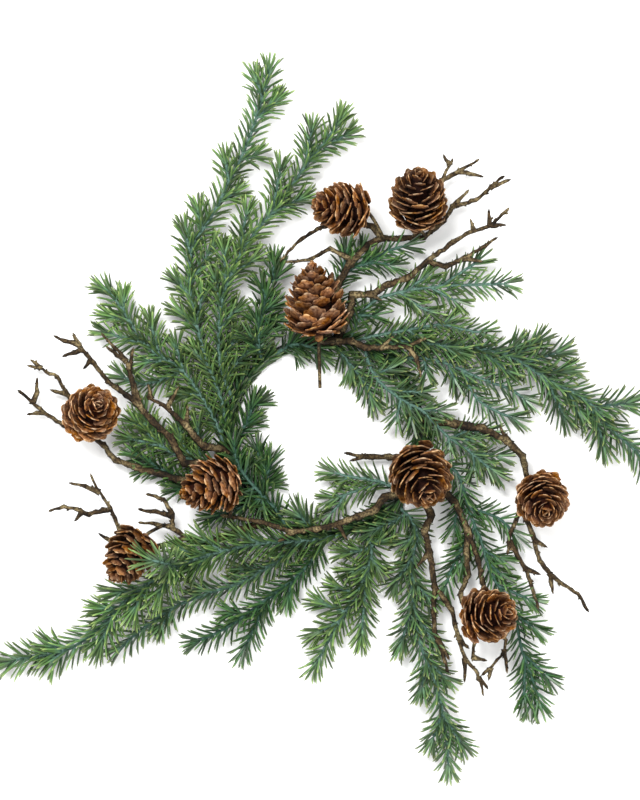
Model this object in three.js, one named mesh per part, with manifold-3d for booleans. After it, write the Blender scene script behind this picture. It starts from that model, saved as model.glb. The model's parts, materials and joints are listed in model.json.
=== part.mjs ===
// A pinecone wreath: a wire ring with needle sprays, bare twigs and cones fastened round it.
// Millimetres, +Z up. The wreath lies flat on its ring, and its front faces up.

import * as THREE from 'three';
import { mergeVertices } from 'three/addons/utils/BufferGeometryUtils.js';
import Module from 'manifold-3d';

const wasm = await Module();
wasm.setup();

// Driving dimensions
const RING_RADIUS = 68;
const RING_THICKNESS = 5;
const RING_SIDES = 6;
const RING_SEGMENTS = 40;
const SEAT_GAP = 0.3;
const PASSING_GAP = 0.6;
const NEEDLE_LENGTH = 13;
const NEEDLE_WIDTH = 1.8;
const NEEDLE_ROW_SPACING = 13;
const NEEDLES_PER_ROW = 3;
const NEEDLE_LEAN = 48;
const TIP_NEEDLE_LEAN = 30;
const NEEDLE_JITTER = 0.16;
const ROW_TWIST = 0.9;
const LOWEST_TIP = 0.8;
const NEEDLE_TAPER = 0.7;
const NEEDLE_SHARES = [1, 0.75];
const NEEDLE_SWINGS = [0, 0.35, -0.35, 0.7, -0.7];
const FIRST_SEED = 101;
const FIRST_NEEDLE_ROW = { stem: 2, shoot: 1 };
const SHORTEST_STEM_SHARE = 0.3;
const SPRAY_GROWTH = {
  step: NEEDLE_ROW_SPACING,
  stemRadius: [1.25, 1.0],
  branchRadius: [1.1, 0.95],
  endNeedle: NEEDLE_LENGTH,
};
const TWIG_GROWTH = { step: 15, stemRadius: [2.1, 0.9], branchRadius: [1.4, 0.7], endNeedle: 0 };
const TWIG_SIDES = 4;
const TWIG_BRANCH_SIDES = 3;
const STALK_RADIUS = 1.1;
const STALK_GAP = 0.45;
const STALK_SIDES = 4;
const STALK_DEPTH_SHARE = 0.12;
const STALK_DROP = 3;
const STALK_LIFT = 4;
const STALK_STEPS = 5;
const TAIL_TIP_RADIUS = 0.8;
const ROOT_SHARE = 0.45;
const CLIMB = 0.05;
const STEEPEST_RISE = 0.5;
const BALL_STEP = 2;
const CONE_SCALE_ROWS = 6;
const CONE_SCALES_PER_ROW = 6;
const CONE_LEAST_REACH = 4;

// Routes are laid out on a square-on view of the wreath, in steps of 0.7 mm, as [column, row, height];
// the ring's centre is at this column and row, and heights are in millimetres.
const LAYOUT_STEP = 0.7;
const RING_CENTRE = { column: 325, row: 436 };

// Sprays: each seat is [angle round the ring, angle up round the wire], and each shoot leaves the
// stem at its first point.
const SPRAYS = [
  {
    name: 'spray_left_long', colour: 'green', seat: [172, 50],
    stem: [[222, 401, 10], [205, 355, 12], [194, 310, 13], [190, 280, 13], [193, 248, 13], [212, 217, 14],
      [231, 180, 14], [246, 148, 15], [259, 111, 15], [269, 72, 16], [271, 54, 16]],
    shoots: [[[262, 98], [252, 66]], [[262, 122], [286, 92]], [[229, 184], [224, 144]],
      [[243, 160], [272, 154]], [[191, 258], [183, 216]], [[192, 300], [168, 268]],
      [[198, 330], [170, 302]], [[212, 372], [186, 340]], [[205, 232], [196, 196]],
      [[196, 328], [207, 276]], [[194, 284], [222, 232]], [[222, 200], [252, 188]]],
  },
  {
    name: 'spray_top_left', colour: 'green', seat: [158, 60],
    stem: [[223, 375, 11], [219, 347, 13], [222, 304, 14], [232, 272, 15], [251, 239, 15],
      [280, 203, 15], [307, 165, 15], [333, 132, 16], [346, 106, 17]],
    shoots: [[[305, 168], [315, 114]], [[320, 150], [362, 128]], [[272, 212], [284, 152]],
      [[272, 216], [316, 192]], [[240, 256], [249, 197]], [[222, 310], [213, 262]],
      [[230, 276], [268, 250]], [[222, 330], [246, 298]], [[227, 288], [224, 234]],
      [[223, 360], [248, 322]], [[226, 378], [238, 362], [254, 346], [270, 334]]],
  },
  {
    name: 'spray_top_inner', colour: 'deep_green', seat: [130, 70],
    stem: [[259, 344, 12], [263, 309, 15], [274, 280, 17]],
    shoots: [[[261, 330], [253, 306]], [[263, 312], [284, 300]], [[260, 346], [240, 326]],
      [[268, 300], [256, 270]], [[261, 338], [282, 322]], [[262, 318], [290, 326]],
      [[272, 284], [288, 262]], [[273, 284], [276, 246]]],
  },
  {
    name: 'spray_left_upper', colour: 'green', seat: [184, 40],
    stem: [[214, 418, 9], [182, 370, 11], [152, 350, 12], [129, 320, 13], [112, 294, 14], [92, 284, 15]],
    shoots: [[[148, 345], [93, 329]], [[160, 355], [147, 308]], [[182, 371], [146, 384], [108, 369]],
      [[184, 373], [172, 330]], [[124, 312], [124, 284]], [[200, 396], [168, 392]],
      [[170, 360], [130, 362]], [[130, 322], [98, 312]]],
  },
  {
    name: 'spray_left_middle', colour: 'green', seat: [202, 30],
    stem: [[215, 462, 8], [190, 460, 9], [162, 446, 10], [143, 428, 11], [123, 412, 12]],
    shoots: [[[192, 460], [172, 424]], [[164, 447], [150, 414]], [[200, 461], [197, 408]],
      [[180, 456], [180, 404]], [[164, 447], [114, 434]], [[152, 437], [138, 394]]],
  },
  {
    name: 'spray_left_lower', colour: 'deep_green', seat: [214, 20],
    stem: [[222, 501, 7], [190, 484, 8], [158, 467, 9], [122, 445, 10]],
    shoots: [[[196, 488], [162, 488]], [[160, 468], [130, 468]]],
  },
  {
    name: 'spray_inner_left_upper', colour: 'deep_green', seat: [184, 150],
    stem: [[246, 424, 8], [253, 405, 9], [257, 389, 10]],
    shoots: [[[246, 426], [262, 416]], [[252, 406], [270, 396]]],
  },
  {
    name: 'spray_inner_left_lower', colour: 'deep_green', seat: [222, 150],
    stem: [[264, 485, 8], [270, 464, 9], [274, 443, 10]],
    shoots: [[[264, 486], [284, 478]], [[267, 472], [258, 450]], [[262, 476], [252, 434]]],
  },
  {
    name: 'spray_ring_left', colour: 'deep_green', seat: [246, 90],
    stem: [[272, 504, 12], [252, 484, 13], [236, 458, 14], [234, 427, 14]],
    shoots: [[[262, 494], [262, 522]], [[244, 474], [254, 452]], [[254, 487], [238, 508]],
      [[258, 498], [228, 512], [198, 522]]],
  },
  {
    name: 'spray_ring_top', colour: 'deep_green', seat: [121, 100],
    stem: [[286, 345, 11], [306, 347, 12], [334, 350, 12]],
    shoots: [[[290, 345], [308, 362]], [[286, 345], [300, 328]], [[312, 347], [332, 368]]],
  },
  {
    name: 'spray_inner_right', colour: 'blue_green', seat: [84, 160],
    stem: [[347, 361, 8], [360, 376, 9], [371, 397, 9], [378, 415, 10]],
    shoots: [[[350, 364], [352, 386]]],
  },
  {
    name: 'spray_ring_right', colour: 'blue_green', seat: [66, 90],
    stem: [[372, 372, 12], [386, 388, 13], [400, 399, 14], [421, 410, 14], [448, 437, 14], [476, 456, 13],
      [502, 482, 13]],
    shoots: [[[410, 404], [413, 438]], [[400, 400], [392, 436]], [[420, 410], [456, 412]],
      [[448, 437], [449, 462]], [[450, 440], [488, 440]], [[472, 455], [474, 486]],
      [[388, 390], [438, 394]], [[472, 452], [514, 458]], [[374, 374], [406, 364]],
      [[470, 450], [506, 482]], [[450, 438], [474, 430], [502, 438]]],
  },
  {
    name: 'spray_right_long', colour: 'blue_green', seat: [62, 45],
    stem: [[400, 341, 9], [440, 345, 11], [504, 354, 12], [546, 379, 13], [588, 402, 14], [609, 428, 14],
      [639, 456, 14], [653, 486, 14]],
    shoots: [[[522, 364], [573, 348]], [[592, 406], [643, 402]], [[590, 404], [607, 458]],
      [[544, 378], [570, 430]], [[536, 374], [578, 370]], [[504, 354], [528, 338]],
      [[440, 345], [470, 358]], [[478, 352], [520, 382]], [[514, 356], [548, 334]],
      [[566, 390], [586, 426]]],
  },
  {
    name: 'spray_right_middle', colour: 'blue_green', seat: [48, 30],
    stem: [[420, 358, 8], [448, 364, 9], [483, 380, 10], [507, 388, 10], [538, 409, 11]],
    shoots: [[[462, 370], [478, 400], [528, 425]], [[448, 364], [460, 396]], [[424, 358], [428, 392]]],
  },
  {
    name: 'spray_upper_right', colour: 'green', seat: [76, 60],
    stem: [[370, 304, 13], [402, 292, 14], [427, 288, 15], [478, 285, 15], [522, 284, 15]],
    shoots: [[[430, 288], [471, 310]], [[440, 288], [492, 252]], [[400, 293], [422, 308]],
      [[402, 294], [424, 310], [446, 314]], [[404, 291], [440, 268]]],
  },
  {
    name: 'spray_right_upper', colour: 'green', seat: [72, 40],
    stem: [[374, 336, 10], [408, 330, 11], [445, 325, 12], [472, 332, 12], [500, 332, 12]],
    shoots: [[[440, 325], [466, 312]], [[408, 330], [432, 346]]],
  },
  {
    name: 'spray_under_cones', colour: 'deep_green', seat: [97, 70],
    stem: [[326, 312, 12], [340, 280, 13], [360, 265, 14], [385, 265, 15], [408, 269, 15]],
    shoots: [[[342, 278], [348, 238]], [[362, 265], [378, 248]], [[330, 304], [364, 316], [392, 312]],
      [[366, 264], [396, 248], [424, 247]], [[352, 268], [370, 236]]],
  },
  {
    name: 'spray_lower_left_long', colour: 'green', seat: [278, 60],
    stem: [[301, 541, 11], [260, 543, 14], [210, 554, 20], [177, 566, 25], [138, 590, 25], [116, 610, 20],
      [93, 633, 14], [66, 650, 11], [33, 656, 10], [-6, 664, 10]],
    shoots: [[[210, 554], [168, 548]], [[140, 588], [104, 592]], [[118, 608], [92, 608]],
      [[66, 650], [36, 640]], [[116, 611], [96, 656]], [[66, 650], [40, 670]], [[260, 543], [226, 528]],
      [[178, 566], [150, 606]], [[320, 538], [300, 516], [284, 508]], [[222, 550], [192, 530]],
      [[214, 552], [184, 576]], [[150, 582], [128, 622]], [[178, 564], [150, 557], [124, 556]]],
  },
  {
    name: 'spray_lower_left_side', colour: 'blue_green', seat: [258, 20],
    stem: [[290, 552, 7], [262, 570, 8], [240, 583, 9], [214, 591, 10], [172, 608, 11], [141, 630, 12],
      [107, 659, 12]],
    shoots: [[[214, 591], [186, 586]], [[174, 607], [152, 640]], [[262, 570], [226, 566]]],
  },
  {
    name: 'spray_bottom_left', colour: 'deep_green', seat: [270, 20],
    stem: [[312, 560, 8], [291, 581, 9], [257, 606, 10], [232, 624, 10], [199, 640, 11], [180, 643, 11]],
    shoots: [[[268, 598], [238, 662]], [[246, 615], [214, 608]], [[292, 580], [284, 612]]],
  },
  {
    name: 'spray_bottom_middle', colour: 'green', seat: [291, 30],
    stem: [[372, 550, 8], [365, 574, 9], [354, 598, 9], [337, 625, 10], [321, 654, 10], [309, 678, 11]],
    shoots: [[[366, 570], [360, 650]], [[346, 612], [306, 596]], [[367, 566], [336, 574]],
      [[370, 556], [388, 580]], [[371, 548], [350, 552], [330, 546]], [[372, 546], [396, 532]],
      [[340, 620], [304, 640]], [[356, 594], [322, 580]]],
  },
  {
    name: 'spray_bottom_long', colour: 'blue_green', seat: [316, 30],
    stem: [[410, 518, 9], [417, 535, 10], [412, 558, 11], [412, 591, 11], [420, 644, 12], [435, 682, 12],
      [445, 728, 12], [449, 783, 13]],
    shoots: [[[413, 556], [386, 597]], [[413, 602], [397, 656]], [[426, 660], [419, 704]],
      [[424, 654], [456, 690]], [[441, 712], [426, 755]], [[441, 712], [470, 757]],
      [[412, 576], [440, 612]], [[417, 535], [390, 552]], [[406, 514], [384, 526], [356, 536]],
      [[416, 612], [442, 652]]],
  },
  {
    name: 'spray_bottom_right', colour: 'deep_green', seat: [345, 30],
    stem: [[446, 462, 8], [461, 482, 9], [469, 512, 10], [481, 541, 10], [490, 572, 10], [505, 596, 10],
      [515, 621, 11], [522, 652, 12], [533, 681, 12], [543, 721, 12]],
    shoots: [[[474, 525], [455, 580]], [[500, 584], [545, 606]], [[522, 652], [557, 687]],
      [[524, 658], [523, 714]], [[468, 508], [498, 518], [524, 545]], [[484, 550], [516, 566]],
      [[462, 486], [450, 545]], [[470, 530], [452, 566], [440, 604]], [[488, 560], [514, 586]],
      [[512, 612], [548, 636]], [[533, 684], [528, 722]]],
  },
  {
    name: 'spray_inner_bottom', colour: 'green', seat: [322, 150],
    stem: [[382, 482, 8], [352, 477, 9], [316, 468, 10]],
    shoots: [[[382, 483], [346, 494], [317, 503]], [[350, 477], [330, 486]],
      [[346, 494], [332, 512], [316, 524]]],
  },
];

// Twigs: bare, kinked and forked; each branch leaves the twig at its first point.
const TWIGS = [
  {
    name: 'twig_lower_left', seat: [237, 30],
    stem: [[240, 530, 9], [215, 541, 11], [189, 539, 13], [173, 528, 15], [173, 514, 16], [164, 499, 17],
      [148, 494, 18]],
    branches: [[[171, 516], [156, 511], [141, 509]], [[173, 528], [158, 524], [141, 522]],
      [[186, 539], [160, 546], [138, 547], [122, 533], [111, 507], [100, 491], [92, 475]],
      [[101, 492], [86, 486], [72, 483]], [[111, 508], [90, 514], [78, 509], [65, 506], [52, 510]],
      [[83, 512], [77, 519]], [[122, 535], [111, 540], [101, 534]]],
  },
  {
    name: 'twig_left_low', seat: [210, 80],
    stem: [[210, 484, 13], [178, 479, 14], [159, 473, 14], [137, 467, 13], [116, 460, 10], [104, 445, 8],
      [84, 431, 8], [64, 425, 9], [44, 412, 11], [33, 402, 12], [20, 391, 14]],
    branches: [[[34, 402], [38, 392], [38, 380]], [[44, 412], [30, 414]],
      [[90, 435], [76, 412], [68, 394], [58, 377], [40, 368], [30, 366]], [[67, 394], [52, 390]],
      [[42, 369], [33, 361]]],
  },
  {
    name: 'twig_left_high', seat: [200, 80],
    stem: [[208, 464, 16], [185, 463, 18], [171, 437, 20], [153, 421, 21], [137, 403, 22], [127, 395, 22],
      [109, 382, 22], [95, 363, 22], [81, 345, 23], [75, 335, 23]],
    branches: [[[137, 403], [132, 377], [127, 360], [116, 348], [104, 335]], [[127, 362], [109, 348]],
      [[131, 370], [134, 350]], [[82, 346], [66, 341], [57, 337]], [[84, 350], [66, 356]],
      [[92, 360], [86, 368]], [[142, 408], [136, 384]]],
  },
  {
    name: 'twig_left_inner', seat: [188, 80],
    stem: [[204, 446, 16], [187, 426, 18], [168, 408, 19], [149, 397, 20]],
    branches: [[[168, 408], [173, 398], [179, 388]], [[187, 426], [188, 407]], [[152, 399], [149, 385]]],
  },
  {
    name: 'twig_ring_bottom', seat: [324, 110],
    stem: [[384, 497, 15], [375, 509, 16], [358, 516, 16], [339, 523, 16], [316, 529, 16], [293, 531, 16],
      [259, 521, 16], [223, 515, 16]],
    branches: [[[338, 523], [346, 538]], [[294, 531], [280, 540]]],
  },
  {
    name: 'twig_ring_top', seat: [99, 100],
    stem: [[332, 342, 14], [351, 341, 15], [365, 348, 15], [381, 348, 15], [407, 347, 15], [428, 337, 15]],
    branches: [[[407, 347], [416, 358], [420, 376]], [[381, 348], [392, 338]]],
  },
  {
    name: 'twig_inner_stub', seat: [345, 150],
    stem: [[389, 457, 9], [366, 456, 10], [346, 453, 11]],
    branches: [[[366, 456], [352, 460]]],
  },
  {
    name: 'twig_upper_right', seat: [89, 30],
    stem: [[337, 312, 15], [337, 286, 17], [349, 265, 17], [368, 246, 14], [381, 239, 11], [400, 239, 9],
      [424, 238, 8], [444, 221, 10], [452, 207, 13], [475, 201, 16], [485, 193, 17], [502, 178, 18]],
    branches: [[[452, 208], [467, 192]], [[490, 189], [508, 181]],
      [[381, 239], [372, 227], [345, 221], [317, 230], [300, 241], [280, 262]],
      [[353, 262], [330, 249], [311, 260], [287, 263]],
      [[414, 239], [430, 210], [440, 182], [452, 161]], [[441, 182], [459, 172], [477, 161]],
      [[459, 172], [481, 177]], [[449, 166], [444, 157]]],
  },
  {
    name: 'twig_right_limb', seat: [82, 30],
    stem: [[350, 312, 17], [352, 295, 18], [371, 295, 19], [388, 285, 19], [408, 278, 20], [427, 262, 20],
      [452, 243, 21], [469, 233, 21], [489, 227, 22], [507, 210, 22]],
    branches: [[[489, 227], [488, 212]], [[490, 226], [503, 226]], [[473, 232], [470, 222]],
      [[427, 262], [445, 267], [460, 261], [484, 247], [495, 239]], [[463, 260], [480, 262]],
      [[371, 295], [380, 300]]],
  },
  {
    name: 'twig_bottom_left', seat: [331, 80],
    stem: [[424, 500, 14], [431, 515, 15], [424, 530, 16], [429, 552, 16], [434, 586, 17], [433, 611, 17],
      [434, 630, 17], [442, 652, 17], [447, 671, 18]],
    branches: [[[437, 638], [448, 657]],
      [[434, 586], [451, 608], [457, 634], [464, 657], [477, 672], [482, 692]],
      [[464, 657], [464, 679]], [[457, 636], [467, 646]], [[429, 552], [416, 566]],
      [[478, 676], [486, 686]]],
  },
  {
    name: 'twig_bottom_right', seat: [339, 70],
    stem: [[436, 482, 13], [454, 502, 14], [467, 529, 16], [466, 552, 16], [467, 575, 16], [460, 594, 16],
      [468, 620, 16], [474, 638, 16], [472, 658, 16]],
    branches: [[[467, 529], [477, 558], [482, 582], [492, 612], [505, 639], [502, 652], [488, 668],
        [482, 673]],
      [[503, 648], [506, 670]], [[472, 656], [484, 659]], [[489, 666], [488, 677]]],
  },
  {
    name: 'twig_right', seat: [10, 60],
    stem: [[455, 424, 14], [482, 428, 14], [506, 441, 12], [522, 456, 9], [527, 480, 8], [520, 505, 8],
      [532, 534, 10], [539, 560, 12], [549, 573, 13], [563, 584, 14], [577, 593, 15], [587, 610, 15]],
    branches: [[[520, 508], [509, 534], [507, 552]], [[508, 540], [525, 568], [533, 592], [537, 606]],
      [[526, 569], [538, 573]], [[549, 573], [552, 591]], [[510, 441], [500, 428]],
      [[533, 540], [545, 546]]],
  },
];

// Cones: middle of the cone, direction from base to tip, length, width, turn about its own axis, and
// the twig that its stalk is wired to with the place on it.
const CONES = [
  { name: 'cone_top_left', middle: [337, 210, 28], tip: [-0.86, 0.1, 0.5],
    length: 43, width: 39, turn: 10,
    carrier: 'twig_upper_right', at: [383, 239], colour: 'tan' },
  { name: 'cone_top_right', middle: [417, 197, 30], tip: [0, 0.72, 0.69],
    length: 49, width: 43, turn: 70,
    carrier: 'twig_upper_right', at: [425, 237], colour: 'brown' },
  { name: 'cone_ring_top', middle: [315, 299, 36], tip: [-0.1, 0.98, 0.17],
    length: 54, width: 45, turn: 130,
    carrier: 'twig_ring_top', at: [334, 342], colour: 'tan', tail: [[319, 352, 24], [320, 388, 16]] },
  { name: 'cone_left', middle: [95, 411, 30], tip: [0.27, 0.27, 0.92],
    length: 41, width: 40, turn: 200,
    carrier: 'twig_left_low', at: [92, 436], colour: 'tan' },
  { name: 'cone_ring_left', middle: [208, 486, 34], tip: [-0.88, -0.3, 0.36],
    length: 44, width: 41, turn: 250,
    carrier: 'twig_ring_bottom', at: [230, 516], colour: 'tan' },
  { name: 'cone_lower_left', middle: [129, 558, 23], tip: [-0.56, -0.72, 0.4],
    length: 42, width: 38, turn: 300,
    carrier: 'twig_lower_left', at: [163, 534], colour: 'brown' },
  { name: 'cone_ring_right', middle: [422, 480, 32], tip: [0.25, -0.62, 0.74],
    length: 46, width: 45, turn: 20,
    carrier: 'twig_bottom_right', at: [440, 486], colour: 'brown' },
  { name: 'cone_right', middle: [541, 502, 30], tip: [0.1, -0.4, 0.91],
    length: 40, width: 39, turn: 95,
    carrier: 'twig_right', at: [522, 502], colour: 'tan' },
  { name: 'cone_bottom_right', middle: [491, 612, 30], tip: [0.62, 0.15, 0.77],
    length: 42, width: 40, turn: 160,
    carrier: 'twig_bottom_right', at: [464, 606], colour: 'tan' },
];

// Half-width of a cone along its length, from base to tip, as shares of its length and half-width.
const CONE_PROFILE = [[0, 0.5], [0.1, 0.84], [0.25, 1], [0.5, 0.94], [0.75, 0.7], [0.9, 0.42], [1, 0.14]];
const CONE_GROOVE_SHARE = 0.66;
const CONE_NOTCH_SHARE = 0.76;
const CONE_LIP_RISE = 1.25;
const CONE_NOTCH_RISE = 0.9;
const CONE_SCALE_BASE = 0.03;
const CONE_SCALE_TOP = 0.93;
const CONE_TIP_HALF_WIDTH = 0.16;

const COLOURS = {
  green: { color: 0x4f7f45, roughness: 0.6 },
  deep_green: { color: 0x35613c, roughness: 0.6 },
  blue_green: { color: 0x3f6d5a, roughness: 0.6 },
  bark: { color: 0x5b4630, roughness: 0.9 },
  tan: { color: 0xa4703d, roughness: 0.75 },
  brown: { color: 0x7a4a2a, roughness: 0.75 },
  wire: { color: 0x23402c, roughness: 0.5 },
};

function material(colour) {
  return new THREE.MeshStandardMaterial({ ...COLOURS[colour], metalness: 0 });
}

// Seeded random numbers from 0 to 1
function seededRandom(seed) {
  let state = seed;
  return () => {
    state = (state * 1664525 + 1013904223) % 4294967296;
    return state / 4294967296;
  };
}

function placeOf([column, row, height]) {
  return new THREE.Vector3(
    (column - RING_CENTRE.column) * LAYOUT_STEP,
    (RING_CENTRE.row - row) * LAYOUT_STEP,
    height,
  );
}

// Solids from geometries and back

function solidFrom(geometry) {
  const bare = geometry.clone();
  bare.deleteAttribute('normal');
  bare.deleteAttribute('uv');
  const merged = mergeVertices(bare);
  return new wasm.Manifold(new wasm.Mesh({
    numProp: 3,
    vertProperties: Float32Array.from(merged.attributes.position.array),
    triVerts: Uint32Array.from(merged.index.array),
  }));
}

function geometryFrom(solid) {
  const mesh = solid.getMesh();
  const geometry = new THREE.BufferGeometry();
  geometry.setAttribute('position', new THREE.BufferAttribute(mesh.vertProperties, 3));
  geometry.setIndex(new THREE.BufferAttribute(mesh.triVerts, 1));
  geometry.computeVertexNormals();
  return geometry;
}

// Joins solids into one body and drops any scrap that fusing leaves loose
function fuse(solids) {
  const joined = solids.reduce((sum, solid) => sum.add(solid));
  const bodies = joined.decompose().sort((a, b) => b.volume() - a.volume());
  return bodies[0];
}

// Room taken up so far, as balls along every stem, needle and cone
const balls = [];

function occupy(owner, centre, radius, stem) {
  balls.push({ owner, stem, x: centre.x, y: centre.y, z: centre.z, radius });
}

function occupyPath(owner, path, radiusAt, stem = path) {
  for (let index = 1; index < path.length; index += 1) {
    const length = path[index].distanceTo(path[index - 1]);
    const count = Math.ceil(length / BALL_STEP);
    for (let step = 0; step <= count; step += 1) {
      const centre = path[index - 1].clone().lerp(path[index], step / count);
      occupy(owner, centre, radiusAt((index - 1 + step / count) / (path.length - 1)), stem);
    }
  }
}

// Height at which a stretch of stem passes clear over everything laid before it
function clearHeight(owner, start, end, radius) {
  const stretch = new THREE.Vector2(end.x - start.x, end.y - start.y);
  const lengthSquared = Math.max(stretch.lengthSq(), 1e-6);
  let height = -Infinity;
  for (const ball of balls) {
    if (ball.owner === owner) continue;
    const along = ((ball.x - start.x) * stretch.x + (ball.y - start.y) * stretch.y) / lengthSquared;
    const share = THREE.MathUtils.clamp(along, 0, 1);
    const aside = Math.hypot(ball.x - start.x - stretch.x * share, ball.y - start.y - stretch.y * share);
    const reach = ball.radius + radius + PASSING_GAP;
    if (aside < reach) height = Math.max(height, ball.z + Math.sqrt(reach ** 2 - aside ** 2));
  }
  return height;
}

// Spaces a route's points evenly and arches it over what lies in its way; its first point stays, and
// a last point is kept for the needle that a spray's stem ends in
function laidPath(owner, points, step, radius, endNeedle) {
  const curve = new THREE.CatmullRomCurve3(points, false, 'centripetal');
  const length = curve.getLength();
  const stemShare = Math.max((length - endNeedle) / length, SHORTEST_STEM_SHARE);
  const stemCount = Math.max(1, Math.round(length * stemShare / step));
  const path = [];
  for (let index = 0; index <= stemCount; index += 1) {
    path.push(curve.getPointAt(stemShare * index / stemCount));
  }
  if (endNeedle > 0) path.push(curve.getPointAt(1));
  const count = path.length - 1;
  for (let index = 1; index < count; index += 1) {
    const height = clearHeight(owner, path[index], path[index + 1], radius);
    path[index].z = Math.max(path[index].z, height);
    path[index + 1].z = Math.max(path[index + 1].z, height);
  }
  const rise = STEEPEST_RISE * step;
  for (let index = count - 1; index > 0; index -= 1) {
    path[index].z = Math.max(path[index].z, path[index + 1].z - rise);
  }
  for (let index = 2; index <= count; index += 1) {
    path[index].z = Math.max(path[index].z, path[index - 1].z - rise);
  }
  return path;
}

// The point of a plant that lies nearest to a place in plan, with the stem's radius there
function nearestPlace(laid, place) {
  let best = null;
  for (const { path, radiusAt } of laid) {
    for (let index = 1; index < path.length; index += 1) {
      const stretch = path[index].clone().sub(path[index - 1]);
      const offset = place.clone().sub(path[index - 1]);
      const along = (offset.x * stretch.x + offset.y * stretch.y)
        / (stretch.x ** 2 + stretch.y ** 2 + 1e-6);
      const share = THREE.MathUtils.clamp(along, 0, 1);
      const point = path[index - 1].clone().addScaledVector(stretch, share);
      const aside = Math.hypot(point.x - place.x, point.y - place.y);
      const radius = radiusAt((index - 1 + share) / (path.length - 1));
      if (best === null || aside < best.aside) best = { point, aside, radius };
    }
  }
  return best;
}

// Directions along a path, and across it without twist
function framesAlong(path) {
  const frames = [];
  let normal = new THREE.Vector3(0, 0, 1);
  for (let index = 0; index < path.length; index += 1) {
    const before = path[Math.max(index - 1, 0)];
    const after = path[Math.min(index + 1, path.length - 1)];
    const tangent = after.clone().sub(before).normalize();
    normal = normal.clone().addScaledVector(tangent, -normal.dot(tangent)).normalize();
    frames.push({ tangent, normal, side: normal.clone().cross(tangent) });
  }
  return frames;
}

// A tapered tube: a cylinder whose rings of points are moved to the points of the path
function bentTube(path, radiusAt, sides) {
  const steps = path.length - 1;
  const geometry = new THREE.CylinderGeometry(1, 1, 1, sides, steps);
  const frames = framesAlong(path);
  const position = geometry.attributes.position;
  for (let index = 0; index < position.count; index += 1) {
    const step = Math.round((position.getY(index) + 0.5) * steps);
    const radius = radiusAt(step / steps);
    const point = path[step].clone()
      .addScaledVector(frames[step].normal, position.getZ(index) * radius)
      .addScaledVector(frames[step].side, -position.getX(index) * radius);
    position.setXYZ(index, point.x, point.y, point.z);
  }
  return solidFrom(geometry);
}

function taper([thick, thin]) {
  return (share) => thick + (thin - thick) * share;
}

// A branch's root is narrow enough to end inside the stem that it leaves
function rootedTaper([thick, thin]) {
  return (share) => (share === 0 ? thick * ROOT_SHARE : thick + (thin - thick) * share);
}

// Distance from the middle of a regular polygon to its edge, straight edges facing 0 degrees
function polygonReach(degrees, sides, edgeDistance) {
  const half = 180 / sides;
  const offset = THREE.MathUtils.euclideanModulo(degrees + half, 2 * half) - half;
  return edgeDistance / Math.cos(THREE.MathUtils.degToRad(offset));
}

// Where a stem meets the ring: close to the wire's surface, a little further out where the stem
// leaves along the wire and its side, not its end, faces the wire
function ringSeat([angle, lean], next, radius) {
  const turn = THREE.MathUtils.degToRad(angle);
  const lift = THREE.MathUtils.degToRad(lean);
  const ringEdge = RING_RADIUS * Math.cos(Math.PI / RING_SEGMENTS);
  const centreRadius = polygonReach(angle - 180 / RING_SEGMENTS, RING_SEGMENTS, ringEdge);
  const outward = new THREE.Vector3(Math.cos(turn), Math.sin(turn), 0);
  const centre = outward.clone().multiplyScalar(centreRadius).setZ(RING_THICKNESS / 2);
  const away = outward.multiplyScalar(Math.cos(lift)).setZ(Math.sin(lift));
  const surface = polygonReach(lean - 90, RING_SIDES, RING_THICKNESS / 2);
  const leaving = next.clone().sub(centre).normalize();
  const sideways = Math.sqrt(1 - THREE.MathUtils.clamp(leaving.dot(away), 0, 1) ** 2);
  return centre.addScaledVector(away, surface + SEAT_GAP + radius * sideways);
}

// Lays a stem from its seat on the ring, then the branches that leave it
function layPlant(owner, seat, stem, branches, { step, stemRadius, branchRadius, endNeedle }) {
  const points = stem.map(placeOf);
  const start = ringSeat(seat, points[0], stemRadius[0]);
  const main = laidPath(owner, [start, ...points], step, stemRadius[0], endNeedle);
  const laid = [{ path: main, radiusAt: taper(stemRadius) }];
  for (const branch of branches) {
    const root = nearestPlace(laid, placeOf([...branch[0], 0])).point;
    const route = branch.slice(1).map(([column, row]) => {
      const place = placeOf([column, row, 0]);
      place.z = root.z + CLIMB * Math.hypot(place.x - root.x, place.y - root.y);
      return place;
    });
    const path = laidPath(owner, [root, ...route], step, branchRadius[0], endNeedle);
    laid.push({ path, radiusAt: rootedTaper(branchRadius) });
  }
  for (const part of laid) occupyPath(owner, part.path, part.radiusAt);
  return laid;
}

// Cones

function coneHalfWidth(share) {
  const upper = Math.max(CONE_PROFILE.findIndex(([at]) => at >= share), 1);
  const [fromShare, fromWidth] = CONE_PROFILE[upper - 1];
  const [toShare, toWidth] = CONE_PROFILE[upper];
  return THREE.MathUtils.mapLinear(share, fromShare, toShare, fromWidth, toWidth);
}

// Place along a cone and half-width of one of its rings of points, at one of its columns: each row of
// scales is a groove and a lip, and the lip stands out further and higher where a scale is
function coneRing(ring, rings, column) {
  if (ring === 0) return { along: CONE_SCALE_BASE / 2, halfWidth: coneHalfWidth(0) * CONE_GROOVE_SHARE };
  if (ring === rings) return { along: CONE_SCALE_TOP, halfWidth: CONE_TIP_HALF_WIDTH };
  const row = Math.floor((ring - 1) / 2);
  const pitch = (CONE_SCALE_TOP - CONE_SCALE_BASE) / CONE_SCALE_ROWS;
  const start = CONE_SCALE_BASE + pitch * row;
  const isGroove = ring % 2 === 1;
  if (isGroove) return { along: start, halfWidth: coneHalfWidth(start) * CONE_GROOVE_SHARE };
  const lipWidth = coneHalfWidth(start + pitch / 2);
  const isScale = (column + row) % 2 === 0;
  if (isScale) return { along: start + pitch * CONE_LIP_RISE, halfWidth: lipWidth };
  return { along: start + pitch * CONE_NOTCH_RISE, halfWidth: lipWidth * CONE_NOTCH_SHARE };
}

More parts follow.
